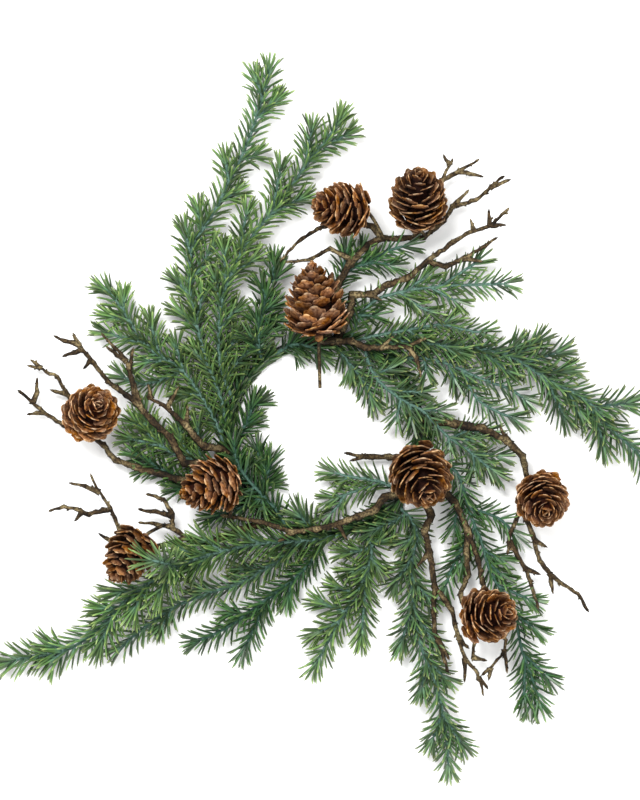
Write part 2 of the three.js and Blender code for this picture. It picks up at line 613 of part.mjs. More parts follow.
// A cone of length 1 and width 1, base at the origin and tip along +Z: rows of scales raised from a
// cylinder's rings, with each row staggered
function coneShape() {
  const columns = 2 * CONE_SCALES_PER_ROW;
  const rings = 2 * CONE_SCALE_ROWS + 1;
  const geometry = new THREE.CylinderGeometry(1, 1, 1, columns, rings);
  const position = geometry.attributes.position;
  for (let index = 0; index < position.count; index += 1) {
    const ring = Math.round((position.getY(index) + 0.5) * rings);
    const isMiddle = Math.hypot(position.getX(index), position.getZ(index)) < 0.5;
    const angle = Math.atan2(position.getZ(index), position.getX(index));
    const column = Math.round(angle / (2 * Math.PI) * columns);
    const { along, halfWidth } = coneRing(ring, rings, column);
    const radius = isMiddle ? 0 : halfWidth / 2;
    const height = isMiddle && ring === rings ? 1 : along;
    position.setXYZ(index, radius * Math.cos(angle), -radius * Math.sin(angle), height);
  }
  return geometry;
}

// Where a cone lies: raised until it is clear of the stems under it
function coneMatrix(cone) {
  const axis = new THREE.Vector3(...cone.tip).normalize();
  const turned = new THREE.Quaternion().setFromUnitVectors(new THREE.Vector3(0, 0, 1), axis);
  const spun = new THREE.Quaternion().setFromAxisAngle(axis, THREE.MathUtils.degToRad(cone.turn));
  const base = placeOf(cone.middle).addScaledVector(axis, -cone.length / 2);
  const body = CONE_PROFILE.map(([along, halfWidth]) => ({
    centre: base.clone().addScaledVector(axis, along * cone.length),
    radius: Math.max(halfWidth * cone.width / 2, CONE_LEAST_REACH),
  }));
  let raise = 0;
  for (const { centre, radius } of body) {
    for (const ball of balls) {
      const reach = ball.radius + radius + PASSING_GAP;
      const aside = Math.hypot(ball.x - centre.x, ball.y - centre.y);
      if (aside < reach) raise = Math.max(raise, ball.z + Math.sqrt(reach ** 2 - aside ** 2) - centre.z);
    }
  }
  base.z += raise;
  for (const { centre, radius } of body) {
    centre.z += raise;
    occupy(cone.name, centre, radius, cone);
  }
  return new THREE.Matrix4()
    .compose(base, spun.multiply(turned), new THREE.Vector3(cone.width, cone.width, cone.length));
}

// The wired stalk from a cone's base to the top of the twig that carries it
function stalkPath(cone, matrix, carrier) {
  const axis = new THREE.Vector3(...cone.tip).normalize();
  const base = new THREE.Vector3().applyMatrix4(matrix);
  const { point: seat, radius } = nearestPlace(carrier, placeOf([...cone.at, 0]));
  seat.z += radius + STALK_GAP;
  const points = [
    base.clone().addScaledVector(axis, cone.length * STALK_DEPTH_SHARE),
    base.clone().addScaledVector(axis, -STALK_DROP),
    seat.clone().add(new THREE.Vector3(0, 0, STALK_LIFT)),
    seat,
  ];
  return new THREE.CatmullRomCurve3(points, false, 'centripetal').getSpacedPoints(STALK_STEPS);
}

// Needles

function needleIsClear(stem, base, tip) {
  if (tip.z < LOWEST_TIP) return false;
  const stretch = tip.clone().sub(base);
  const lengthSquared = stretch.lengthSq();
  for (const ball of balls) {
    if (ball.stem === stem) continue;
    const x = ball.x - base.x;
    const y = ball.y - base.y;
    const z = ball.z - base.z;
    const along = (x * stretch.x + y * stretch.y + z * stretch.z) / lengthSquared;
    const share = THREE.MathUtils.clamp(along, 0, 1);
    const aside = Math.hypot(x - stretch.x * share, y - stretch.y * share, z - stretch.z * share);
    if (aside < ball.radius + SEAT_GAP + NEEDLE_WIDTH * (1 - share) / 2) return false;
  }
  return true;
}

// Bends a needle aside, then shortens it, until it is clear of its neighbours
function clearNeedleTip(stem, base, frame, azimuth, lean) {
  for (const share of NEEDLE_SHARES) {
    for (const swing of NEEDLE_SWINGS) {
      const direction = frame.tangent.clone().multiplyScalar(Math.cos(lean))
        .addScaledVector(frame.normal, Math.sin(lean) * Math.cos(azimuth + swing))
        .addScaledVector(frame.side, Math.sin(lean) * Math.sin(azimuth + swing));
      const tip = base.clone().addScaledVector(direction, NEEDLE_LENGTH * share);
      if (needleIsClear(stem, base, tip)) return tip;
    }
  }
  return null;
}

// A stem with its needles: a slim three-sided tube with a short band at each row of needles, and a
// needle drawn out of each side of that band; the stem's own end is drawn out to the last needle
function needledStem(owner, { path, radiusAt }, firstRow, random) {
  const frames = framesAlong(path);
  const last = path.length - 2;
  const rings = [{ centre: path[0], row: 0 }];
  for (let row = 1; row <= last; row += 1) {
    for (const shift of [-NEEDLE_WIDTH / 2, NEEDLE_WIDTH / 2]) {
      rings.push({ centre: path[row].clone().addScaledVector(frames[row].tangent, shift), row });
    }
  }

  const steps = rings.length - 1;
  const geometry = new THREE.CylinderGeometry(1, 1, 1, NEEDLES_PER_ROW, steps);
  geometry.deleteAttribute('normal');
  geometry.deleteAttribute('uv');
  const position = geometry.attributes.position;
  for (let index = 0; index < position.count; index += 1) {
    const step = Math.round((position.getY(index) + 0.5) * steps);
    const { centre, row } = rings[step];
    const across = Math.hypot(position.getX(index), position.getZ(index));
    const angle = Math.atan2(position.getZ(index), position.getX(index)) + row * ROW_TWIST;
    const point = centre.clone()
      .addScaledVector(frames[row].normal, Math.cos(angle) * across * radiusAt(row / last))
      .addScaledVector(frames[row].side, Math.sin(angle) * across * radiusAt(row / last));
    if (step === steps && across < 0.5) point.copy(path[last + 1]);
    position.setXYZ(index, point.x, point.y, point.z);
  }

  const corners = Array.from(geometry.index.array);
  const points = Array.from(position.array);
  const needles = [];
  for (let row = firstRow; row <= last; row += 1) {
    for (let side = 0; side < NEEDLES_PER_ROW; side += 1) {
      const stepFromTip = steps - 2 * row;
      const face = 6 * (side * steps + stepFromTip);
      const [a, b, d, , c] = corners.slice(face, face + 5);
      const corner = (index) => new THREE.Vector3().fromArray(points, 3 * index);
      const base = corner(a).add(corner(b)).add(corner(c)).add(corner(d)).divideScalar(4);
      const outward = base.clone().sub(path[row]);
      const azimuth = Math.atan2(outward.dot(frames[row].side), outward.dot(frames[row].normal));
      const lean = THREE.MathUtils.degToRad(row === last ? TIP_NEEDLE_LEAN : NEEDLE_LEAN);
      const swung = azimuth + (random() - 0.5) * 2 * NEEDLE_JITTER;
      const leaned = lean + (random() - 0.5) * 2 * NEEDLE_JITTER;
      const tip = clearNeedleTip(path, base, frames[row], swung, leaned);
      if (tip !== null) {
        needles.push({ face, corners: [a, b, c, d], tip });
        occupyPath(owner, [base, tip], (share) => NEEDLE_WIDTH / 2 * (1 - NEEDLE_TAPER * share), path);
      }
    }
  }
  for (const { face, corners: quad, tip } of needles) {
    const top = points.length / 3;
    points.push(tip.x, tip.y, tip.z);
    const sides = quad.map((corner, index) => [corner, quad[(index + 1) % 4], top]);
    corners.splice(face, 6, ...sides[0], ...sides[1]);
    corners.push(...sides[2], ...sides[3]);
  }
  const needled = new THREE.BufferGeometry();
  needled.setAttribute('position', new THREE.Float32BufferAttribute(points, 3));
  needled.setIndex(corners);
  return solidFrom(needled);
}

// The pieces

const wreath = new THREE.Group();

function addPiece(name, geometry, colour) {
  const mesh = new THREE.Mesh(geometry, material(colour));
  mesh.name = name;
  wreath.add(mesh);
}

function makeRing() {
  const half = RING_THICKNESS / 2;
  const profile = [];
  for (let side = 0; side <= RING_SIDES; side += 1) {
    const angle = 2 * Math.PI * (side % RING_SIDES) / RING_SIDES;
    const reach = half / Math.cos(Math.PI / RING_SIDES);
    profile.push(new THREE.Vector2(RING_RADIUS + reach * Math.cos(angle), half + reach * Math.sin(angle)));
  }
  const geometry = new THREE.LatheGeometry(profile, RING_SEGMENTS).rotateX(Math.PI / 2);
  const line = [];
  for (let segment = 0; segment <= RING_SEGMENTS; segment += 1) {
    const turn = 2 * Math.PI * segment / RING_SEGMENTS;
    line.push(new THREE.Vector3(RING_RADIUS * Math.cos(turn), RING_RADIUS * Math.sin(turn), half));
  }
  occupyPath('ring', line, () => half);
  addPiece('ring', geometryFrom(solidFrom(geometry)), 'wire');
}

const unitCone = coneShape();
const laidTwigs = {};

function layTwig(twig) {
  laidTwigs[twig.name] = layPlant(twig.name, twig.seat, twig.stem, twig.branches, TWIG_GROWTH);
}

function makeCone(cone) {
  const matrix = coneMatrix(cone);
  const stalk = stalkPath(cone, matrix, laidTwigs[cone.carrier]);
  const solids = [
    solidFrom(unitCone.clone().applyMatrix4(matrix)),
    bentTube(stalk, () => STALK_RADIUS, STALK_SIDES),
  ];
  occupyPath(cone.name, stalk, () => STALK_RADIUS);
  if (cone.tail) {
    const base = new THREE.Vector3().applyMatrix4(matrix);
    const route = [base, ...cone.tail.map(placeOf)];
    const tail = laidPath(cone.name, route, TWIG_GROWTH.step, STALK_RADIUS, 0);
    solids.push(bentTube(tail, taper([STALK_RADIUS, TAIL_TIP_RADIUS]), STALK_SIDES));
    occupyPath(cone.name, tail, () => STALK_RADIUS);
  }
  addPiece(cone.name, geometryFrom(fuse(solids)), cone.colour);
}

makeRing();
const lowTwig = TWIGS.find((twig) => twig.name === 'twig_lower_left');
const lowCone = CONES.find((cone) => cone.name === 'cone_lower_left');
layTwig(lowTwig);
makeCone(lowCone);
const laidSprays = SPRAYS.map((spray) => layPlant(
  spray.name, spray.seat, spray.stem, spray.shoots, SPRAY_GROWTH,
));
TWIGS.filter((twig) => twig !== lowTwig).forEach(layTwig);
CONES.filter((cone) => cone !== lowCone).forEach(makeCone);

for (const twig of TWIGS) {
  const solids = laidTwigs[twig.name].map(({ path, radiusAt }, order) => (
    bentTube(path, radiusAt, order === 0 ? TWIG_SIDES : TWIG_BRANCH_SIDES)
  ));
  addPiece(twig.name, geometryFrom(fuse(solids)), 'bark');
}

SPRAYS.forEach((spray, index) => {
  const random = seededRandom(FIRST_SEED + index);
  const solids = laidSprays[index].map((part, order) => (
    needledStem(spray.name, part, order === 0 ? FIRST_NEEDLE_ROW.stem : FIRST_NEEDLE_ROW.shoot, random)
  ));
  addPiece(spray.name, geometryFrom(fuse(solids)), spray.colour);
});

// The origin lies under the middle of the whole wreath, on the surface that it rests on
const extent = new THREE.Box3().setFromObject(wreath);
const middle = extent.getCenter(new THREE.Vector3());
wreath.position.set(-middle.x, -middle.y, 0);

export default wreath;
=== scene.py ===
"""The finished look of the pinecone wreath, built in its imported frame.

Metres, +Z up out of the front of the wreath. The stems, twigs and cones are laid in millimetres
round the middle of the ring, in the same order as the solids, and then set into the frame.
"""

import json
import math
import random
from collections import namedtuple

import bmesh
import bpy
import numpy as np
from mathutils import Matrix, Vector


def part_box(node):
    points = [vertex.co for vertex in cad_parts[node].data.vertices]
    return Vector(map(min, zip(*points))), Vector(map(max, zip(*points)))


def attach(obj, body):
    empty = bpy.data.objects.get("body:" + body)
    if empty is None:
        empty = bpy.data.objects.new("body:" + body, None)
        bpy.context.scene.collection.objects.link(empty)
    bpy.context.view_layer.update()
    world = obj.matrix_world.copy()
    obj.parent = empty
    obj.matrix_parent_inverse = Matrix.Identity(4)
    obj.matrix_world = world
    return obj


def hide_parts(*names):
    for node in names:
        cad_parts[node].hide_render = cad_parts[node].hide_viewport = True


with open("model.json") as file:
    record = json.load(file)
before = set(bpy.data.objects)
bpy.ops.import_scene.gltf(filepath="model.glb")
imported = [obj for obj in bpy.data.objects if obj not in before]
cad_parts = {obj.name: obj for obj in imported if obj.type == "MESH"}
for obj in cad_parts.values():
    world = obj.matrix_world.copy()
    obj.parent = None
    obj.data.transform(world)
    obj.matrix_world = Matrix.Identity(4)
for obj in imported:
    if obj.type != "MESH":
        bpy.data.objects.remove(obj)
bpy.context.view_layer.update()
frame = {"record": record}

MM = 0.001

# The ring of the solids, in millimetres
RING_RADIUS = 68
RING_THICKNESS = 5
RING_SIDES = 6
RING_SEGMENTS = 40

# How stems grow round it, in millimetres. A growth gives the step between the joints of a stem,
# the radii at the foot and the tip of a stem and of a branch, and the room for its last needle
SEAT_GAP = 0.3
PASSING_GAP = 0.6
BALL_STEP = 2
CLIMB = 0.05  # for each millimetre that a branch goes out
STEEPEST_RISE = 0.5  # for each millimetre of a stem that arches over another
SHORTEST_STEM_SHARE = 0.3
ROUTE_SAMPLES = 201
SPRAY_GROWTH = {"step": 13, "stem": (1.25, 1.0), "branch": (1.1, 0.95), "end_needle": 13}
TWIG_GROWTH = {"step": 15, "stem": (2.1, 0.9), "branch": (1.4, 0.7), "end_needle": 0}

# How a cone is wired to its twig, in millimetres
STALK_RADIUS = 1.1
STALK_GAP = 0.45
STALK_DEPTH_SHARE = 0.12  # of the cone's length, up into it
STALK_DROP = 3
STALK_LIFT = 4
CONE_LEAST_REACH = 4

# Routes are laid out on a square-on view in steps of 0.7 mm, as column, row and height in
# millimetres, with the middle of the ring at this column and row. A branch starts at the place
# of its stem that is nearest to its first point. A seat is the angle round the ring at which a
# stem starts, and the angle round the wire, both in degrees.
LAYOUT_STEP = 0.7
RING_COLUMN = 325
RING_ROW = 436

SPRAYS = {
    "spray_left_long": dict(seat=(172, 50), stem=(
        (222, 401, 10), (205, 355, 12), (194, 310, 13), (190, 280, 13), (193, 248, 13),
        (212, 217, 14), (231, 180, 14), (246, 148, 15), (259, 111, 15), (269, 72, 16),
        (271, 54, 16),
    ), branches=(
        ((262, 98), (252, 66)), ((262, 122), (286, 92)), ((229, 184), (224, 144)),
        ((243, 160), (272, 154)), ((191, 258), (183, 216)), ((192, 300), (168, 268)),
        ((198, 330), (170, 302)), ((212, 372), (186, 340)), ((205, 232), (196, 196)),
        ((196, 328), (207, 276)), ((194, 284), (222, 232)), ((222, 200), (252, 188)),
    )),
    "spray_top_left": dict(seat=(158, 60), stem=(
        (223, 375, 11), (219, 347, 13), (222, 304, 14), (232, 272, 15), (251, 239, 15),
        (280, 203, 15), (307, 165, 15), (333, 132, 16), (346, 106, 17),
    ), branches=(
        ((305, 168), (315, 114)), ((320, 150), (362, 128)), ((272, 212), (284, 152)),
        ((272, 216), (316, 192)), ((240, 256), (249, 197)), ((222, 310), (213, 262)),
        ((230, 276), (268, 250)), ((222, 330), (246, 298)), ((227, 288), (224, 234)),
        ((223, 360), (248, 322)), ((226, 378), (238, 362), (254, 346), (270, 334)),
    )),
    "spray_top_inner": dict(seat=(130, 70), stem=(
        (259, 344, 12), (263, 309, 15), (274, 280, 17),
    ), branches=(
        ((261, 330), (253, 306)), ((263, 312), (284, 300)), ((260, 346), (240, 326)),
        ((268, 300), (256, 270)), ((261, 338), (282, 322)), ((262, 318), (290, 326)),
        ((272, 284), (288, 262)), ((273, 284), (276, 246)),
    )),
    "spray_left_upper": dict(seat=(184, 40), stem=(
        (214, 418, 9), (182, 370, 11), (152, 350, 12), (129, 320, 13), (112, 294, 14),
        (92, 284, 15),
    ), branches=(
        ((148, 345), (93, 329)), ((160, 355), (147, 308)), ((182, 371), (146, 384), (108, 369)),
        ((184, 373), (172, 330)), ((124, 312), (124, 284)), ((200, 396), (168, 392)),
        ((170, 360), (130, 362)), ((130, 322), (98, 312)),
    )),
    "spray_left_middle": dict(seat=(202, 30), stem=(
        (215, 462, 8), (190, 460, 9), (162, 446, 10), (143, 428, 11), (123, 412, 12),
    ), branches=(
        ((192, 460), (172, 424)), ((164, 447), (150, 414)), ((200, 461), (197, 408)),
        ((180, 456), (180, 404)), ((164, 447), (114, 434)), ((152, 437), (138, 394)),
    )),
    "spray_left_lower": dict(seat=(214, 20), stem=(
        (222, 501, 7), (190, 484, 8), (158, 467, 9), (122, 445, 10),
    ), branches=(
        ((196, 488), (162, 488)), ((160, 468), (130, 468)),
    )),
    "spray_inner_left_upper": dict(seat=(184, 150), stem=(
        (246, 424, 8), (253, 405, 9), (257, 389, 10),
    ), branches=(
        ((246, 426), (262, 416)), ((252, 406), (270, 396)),
    )),
    "spray_inner_left_lower": dict(seat=(222, 150), stem=(
        (264, 485, 8), (270, 464, 9), (274, 443, 10),
    ), branches=(
        ((264, 486), (284, 478)), ((267, 472), (258, 450)), ((262, 476), (252, 434)),
    )),
    "spray_ring_left": dict(seat=(246, 90), stem=(
        (272, 504, 12), (252, 484, 13), (236, 458, 14), (234, 427, 14),
    ), branches=(
        ((262, 494), (262, 522)), ((244, 474), (254, 452)), ((254, 487), (238, 508)),
        ((258, 498), (228, 512), (198, 522)),
    )),
    "spray_ring_top": dict(seat=(121, 100), stem=(
        (286, 345, 11), (306, 347, 12), (334, 350, 12),
    ), branches=(
        ((290, 345), (308, 362)), ((286, 345), (300, 328)), ((312, 347), (332, 368)),
    )),
    "spray_inner_right": dict(seat=(84, 160), stem=(
        (347, 361, 8), (360, 376, 9), (371, 397, 9), (378, 415, 10),
    ), branches=(
        ((350, 364), (352, 386)),
    )),
    "spray_ring_right": dict(seat=(66, 90), stem=(
        (372, 372, 12), (386, 388, 13), (400, 399, 14), (421, 410, 14), (448, 437, 14),
        (476, 456, 13), (502, 482, 13),
    ), branches=(
        ((410, 404), (413, 438)), ((400, 400), (392, 436)), ((420, 410), (456, 412)),
        ((448, 437), (449, 462)), ((450, 440), (488, 440)), ((472, 455), (474, 486)),
        ((388, 390), (438, 394)), ((472, 452), (514, 458)), ((374, 374), (406, 364)),
        ((470, 450), (506, 482)), ((450, 438), (474, 430), (502, 438)),
    )),
    "spray_right_long": dict(seat=(62, 45), stem=(
        (400, 341, 9), (440, 345, 11), (504, 354, 12), (546, 379, 13), (588, 402, 14),
        (609, 428, 14), (639, 456, 14), (653, 486, 14),
    ), branches=(
        ((522, 364), (573, 348)), ((592, 406), (643, 402)), ((590, 404), (607, 458)),
        ((544, 378), (570, 430)), ((536, 374), (578, 370)), ((504, 354), (528, 338)),
        ((440, 345), (470, 358)), ((478, 352), (520, 382)), ((514, 356), (548, 334)),
        ((566, 390), (586, 426)),
    )),
    "spray_right_middle": dict(seat=(48, 30), stem=(
        (420, 358, 8), (448, 364, 9), (483, 380, 10), (507, 388, 10), (538, 409, 11),
    ), branches=(
        ((462, 370), (478, 400), (528, 425)), ((448, 364), (460, 396)), ((424, 358), (428, 392)),
    )),
    "spray_upper_right": dict(seat=(76, 60), stem=(
        (370, 304, 13), (402, 292, 14), (427, 288, 15), (478, 285, 15), (522, 284, 15),
    ), branches=(
        ((430, 288), (471, 310)), ((440, 288), (492, 252)), ((400, 293), (422, 308)),
        ((402, 294), (424, 310), (446, 314)), ((404, 291), (440, 268)),
    )),
    "spray_right_upper": dict(seat=(72, 40), stem=(
        (374, 336, 10), (408, 330, 11), (445, 325, 12), (472, 332, 12), (500, 332, 12),
    ), branches=(
        ((440, 325), (466, 312)), ((408, 330), (432, 346)),
    )),
    "spray_under_cones": dict(seat=(97, 70), stem=(
        (326, 312, 12), (340, 280, 13), (360, 265, 14), (385, 265, 15), (408, 269, 15),
    ), branches=(
        ((342, 278), (348, 238)), ((362, 265), (378, 248)), ((330, 304), (364, 316), (392, 312)),
        ((366, 264), (396, 248), (424, 247)), ((352, 268), (370, 236)),
    )),
    "spray_lower_left_long": dict(seat=(278, 60), stem=(
        (301, 541, 11), (260, 543, 14), (210, 554, 20), (177, 566, 25), (138, 590, 25),
        (116, 610, 20), (93, 633, 14), (66, 650, 11), (33, 656, 10), (-6, 664, 10),
    ), branches=(
        ((210, 554), (168, 548)), ((140, 588), (104, 592)), ((118, 608), (92, 608)),
        ((66, 650), (36, 640)), ((116, 611), (96, 656)), ((66, 650), (40, 670)),
        ((260, 543), (226, 528)), ((178, 566), (150, 606)), ((320, 538), (300, 516), (284, 508)),
        ((222, 550), (192, 530)), ((214, 552), (184, 576)), ((150, 582), (128, 622)),
        ((178, 564), (150, 557), (124, 556)),
    )),
    "spray_lower_left_side": dict(seat=(258, 20), stem=(
        (290, 552, 7), (262, 570, 8), (240, 583, 9), (214, 591, 10), (172, 608, 11),
        (141, 630, 12), (107, 659, 12),
    ), branches=(
        ((214, 591), (186, 586)), ((174, 607), (152, 640)), ((262, 570), (226, 566)),
    )),
    "spray_bottom_left": dict(seat=(270, 20), stem=(
        (312, 560, 8), (291, 581, 9), (257, 606, 10), (232, 624, 10), (199, 640, 11),
        (180, 643, 11),
    ), branches=(
        ((268, 598), (238, 662)), ((246, 615), (214, 608)), ((292, 580), (284, 612)),
    )),
    "spray_bottom_middle": dict(seat=(291, 30), stem=(
        (372, 550, 8), (365, 574, 9), (354, 598, 9), (337, 625, 10), (321, 654, 10),
        (309, 678, 11),
    ), branches=(
        ((366, 570), (360, 650)), ((346, 612), (306, 596)), ((367, 566), (336, 574)),
        ((370, 556), (388, 580)), ((371, 548), (350, 552), (330, 546)), ((372, 546), (396, 532)),
        ((340, 620), (304, 640)), ((356, 594), (322, 580)),
    )),
    "spray_bottom_long": dict(seat=(316, 30), stem=(
        (410, 518, 9), (417, 535, 10), (412, 558, 11), (412, 591, 11), (420, 644, 12),
        (435, 682, 12), (445, 728, 12), (449, 783, 13),
    ), branches=(
        ((413, 556), (386, 597)), ((413, 602), (397, 656)), ((426, 660), (419, 704)),
        ((424, 654), (456, 690)), ((441, 712), (426, 755)), ((441, 712), (470, 757)),
        ((412, 576), (440, 612)), ((417, 535), (390, 552)), ((406, 514), (384, 526), (356, 536)),
        ((416, 612), (442, 652)),
    )),
    "spray_bottom_right": dict(seat=(345, 30), stem=(
        (446, 462, 8), (461, 482, 9), (469, 512, 10), (481, 541, 10), (490, 572, 10),
        (505, 596, 10), (515, 621, 11), (522, 652, 12), (533, 681, 12), (543, 721, 12),
    ), branches=(
        ((474, 525), (455, 580)), ((500, 584), (545, 606)), ((522, 652), (557, 687)),
        ((524, 658), (523, 714)), ((468, 508), (498, 518), (524, 545)), ((484, 550), (516, 566)),
        ((462, 486), (450, 545)), ((470, 530), (452, 566), (440, 604)), ((488, 560), (514, 586)),
        ((512, 612), (548, 636)), ((533, 684), (528, 722)),
    )),
    "spray_inner_bottom": dict(seat=(322, 150), stem=(
        (382, 482, 8), (352, 477, 9), (316, 468, 10),
    ), branches=(
        ((382, 483), (346, 494), (317, 503)), ((350, 477), (330, 486)),
        ((346, 494), (332, 512), (316, 524)),
    )),
}

TWIGS = {
    "twig_lower_left": dict(seat=(237, 30), stem=(
        (240, 530, 9), (215, 541, 11), (189, 539, 13), (173, 528, 15), (173, 514, 16),
        (164, 499, 17), (148, 494, 18),
    ), branches=(
        ((171, 516), (156, 511), (141, 509)), ((173, 528), (158, 524), (141, 522)),
        ((186, 539), (160, 546), (138, 547), (122, 533), (111, 507), (100, 491), (92, 475)),
        ((101, 492), (86, 486), (72, 483)),
        ((111, 508), (90, 514), (78, 509), (65, 506), (52, 510)), ((83, 512), (77, 519)),
        ((122, 535), (111, 540), (101, 534)),
    )),
    "twig_left_low": dict(seat=(210, 80), stem=(
        (210, 484, 13), (178, 479, 14), (159, 473, 14), (137, 467, 13), (116, 460, 10),
        (104, 445, 8), (84, 431, 8), (64, 425, 9), (44, 412, 11), (33, 402, 12), (20, 391, 14),
    ), branches=(
        ((34, 402), (38, 392), (38, 380)), ((44, 412), (30, 414)),
        ((90, 435), (76, 412), (68, 394), (58, 377), (40, 368), (30, 366)), ((67, 394), (52, 390)),
        ((42, 369), (33, 361)),
    )),
    "twig_left_high": dict(seat=(200, 80), stem=(
        (208, 464, 16), (185, 463, 18), (171, 437, 20), (153, 421, 21), (137, 403, 22),
        (127, 395, 22), (109, 382, 22), (95, 363, 22), (81, 345, 23), (75, 335, 23),
    ), branches=(
        ((137, 403), (132, 377), (127, 360), (116, 348), (104, 335)), ((127, 362), (109, 348)),
        ((131, 370), (134, 350)), ((82, 346), (66, 341), (57, 337)), ((84, 350), (66, 356)),
        ((92, 360), (86, 368)), ((142, 408), (136, 384)),
    )),
    "twig_left_inner": dict(seat=(188, 80), stem=(
        (204, 446, 16), (187, 426, 18), (168, 408, 19), (149, 397, 20),
    ), branches=(
        ((168, 408), (173, 398), (179, 388)), ((187, 426), (188, 407)), ((152, 399), (149, 385)),
    )),
    "twig_ring_bottom": dict(seat=(324, 110), stem=(
        (384, 497, 15), (375, 509, 16), (358, 516, 16), (339, 523, 16), (316, 529, 16),
        (293, 531, 16), (259, 521, 16), (223, 515, 16),
    ), branches=(
        ((338, 523), (346, 538)), ((294, 531), (280, 540)),
    )),
    "twig_ring_top": dict(seat=(99, 100), stem=(
        (332, 342, 14), (351, 341, 15), (365, 348, 15), (381, 348, 15), (407, 347, 15),
        (428, 337, 15),
    ), branches=(
        ((407, 347), (416, 358), (420, 376)), ((381, 348), (392, 338)),
    )),
    "twig_inner_stub": dict(seat=(345, 150), stem=(
        (389, 457, 9), (366, 456, 10), (346, 453, 11),
    ), branches=(
        ((366, 456), (352, 460)),
    )),
    "twig_upper_right": dict(seat=(89, 30), stem=(
        (337, 312, 15), (337, 286, 17), (349, 265, 17), (368, 246, 14), (381, 239, 11),
        (400, 239, 9), (424, 238, 8), (444, 221, 10), (452, 207, 13), (475, 201, 16),
        (485, 193, 17), (502, 178, 18),
    ), branches=(
        ((452, 208), (467, 192)), ((490, 189), (508, 181)),
        ((381, 239), (372, 227), (345, 221), (317, 230), (300, 241), (280, 262)),
        ((353, 262), (330, 249), (311, 260), (287, 263)),
        ((414, 239), (430, 210), (440, 182), (452, 161)), ((441, 182), (459, 172), (477, 161)),
        ((459, 172), (481, 177)), ((449, 166), (444, 157)),
    )),
    "twig_right_limb": dict(seat=(82, 30), stem=(
        (350, 312, 17), (352, 295, 18), (371, 295, 19), (388, 285, 19), (408, 278, 20),
        (427, 262, 20), (452, 243, 21), (469, 233, 21), (489, 227, 22), (507, 210, 22),
    ), branches=(
        ((489, 227), (488, 212)), ((490, 226), (503, 226)), ((473, 232), (470, 222)),
        ((427, 262), (445, 267), (460, 261), (484, 247), (495, 239)), ((463, 260), (480, 262)),
        ((371, 295), (380, 300)),
    )),
    "twig_bottom_left": dict(seat=(331, 80), stem=(
        (424, 500, 14), (431, 515, 15), (424, 530, 16), (429, 552, 16), (434, 586, 17),
        (433, 611, 17), (434, 630, 17), (442, 652, 17), (447, 671, 18),
    ), branches=(
        ((437, 638), (448, 657)),
        ((434, 586), (451, 608), (457, 634), (464, 657), (477, 672), (482, 692)),
        ((464, 657), (464, 679)), ((457, 636), (467, 646)), ((429, 552), (416, 566)),
        ((478, 676), (486, 686)),
    )),
    "twig_bottom_right": dict(seat=(339, 70), stem=(
        (436, 482, 13), (454, 502, 14), (467, 529, 16), (466, 552, 16), (467, 575, 16),
        (460, 594, 16), (468, 620, 16), (474, 638, 16), (472, 658, 16),
    ), branches=(
        (
            (467, 529), (477, 558), (482, 582), (492, 612), (505, 639), (502, 652), (488, 668),
            (482, 673),
        ),
        ((503, 648), (506, 670)), ((472, 656), (484, 659)), ((489, 666), (488, 677)),
    )),
    "twig_right": dict(seat=(10, 60), stem=(
        (455, 424, 14), (482, 428, 14), (506, 441, 12), (522, 456, 9), (527, 480, 8),
        (520, 505, 8), (532, 534, 10), (539, 560, 12), (549, 573, 13), (563, 584, 14),
        (577, 593, 15), (587, 610, 15),
    ), branches=(
        ((520, 508), (509, 534), (507, 552)), ((508, 540), (525, 568), (533, 592), (537, 606)),
        ((526, 569), (538, 573)), ((549, 573), (552, 591)), ((510, 441), (500, 428)),
        ((533, 540), (545, 546)),
    )),
}

# Where a cone's middle is and where its tip points; its length and width in millimetres; the
# turn of its first scale in degrees; and the twig that carries it, at this column and row. A
# tail is the end of its stalk that hangs free.
Cone = namedtuple("Cone", "middle tip length width turn at carrier tail", defaults=(None,))
CONES = {
    "cone_top_left": Cone(
        (337, 210, 28), (-0.86, 0.1, 0.5), 43, 39, 10, (383, 239), "twig_upper_right",
    ),
    "cone_top_right": Cone(
        (417, 197, 30), (0, 0.72, 0.69), 49, 43, 70, (425, 237), "twig_upper_right",
    ),
    "cone_ring_top": Cone(
        (315, 299, 36), (-0.1, 0.98, 0.17), 54, 45, 130, (334, 342), "twig_ring_top",
        ((319, 352, 24), (320, 388, 16)),
    ),
    "cone_left": Cone(
        (95, 411, 30), (0.27, 0.27, 0.92), 41, 40, 200, (92, 436), "twig_left_low",
    ),
    "cone_ring_left": Cone(
        (208, 486, 34), (-0.88, -0.3, 0.36), 44, 41, 250, (230, 516), "twig_ring_bottom",
    ),
    "cone_lower_left": Cone(
        (129, 558, 23), (-0.56, -0.72, 0.4), 42, 38, 300, (163, 534), "twig_lower_left",
    ),
    "cone_ring_right": Cone(
        (422, 480, 32), (0.25, -0.62, 0.74), 46, 45, 20, (440, 486), "twig_bottom_right",
    ),
    "cone_right": Cone(
        (541, 502, 30), (0.1, -0.4, 0.91), 40, 39, 95, (522, 502), "twig_right",
    ),
    "cone_bottom_right": Cone(
        (491, 612, 30), (0.62, 0.15, 0.77), 42, 40, 160, (464, 606), "twig_bottom_right",
    ),
}

# Half-width of a cone along its length, from base to tip, as shares of its length and half-width
CONE_PROFILE = ((0, 0.5), (0.1, 0.84), (0.25, 1), (0.5, 0.94), (0.75, 0.7), (0.9, 0.42), (1, 0.14))

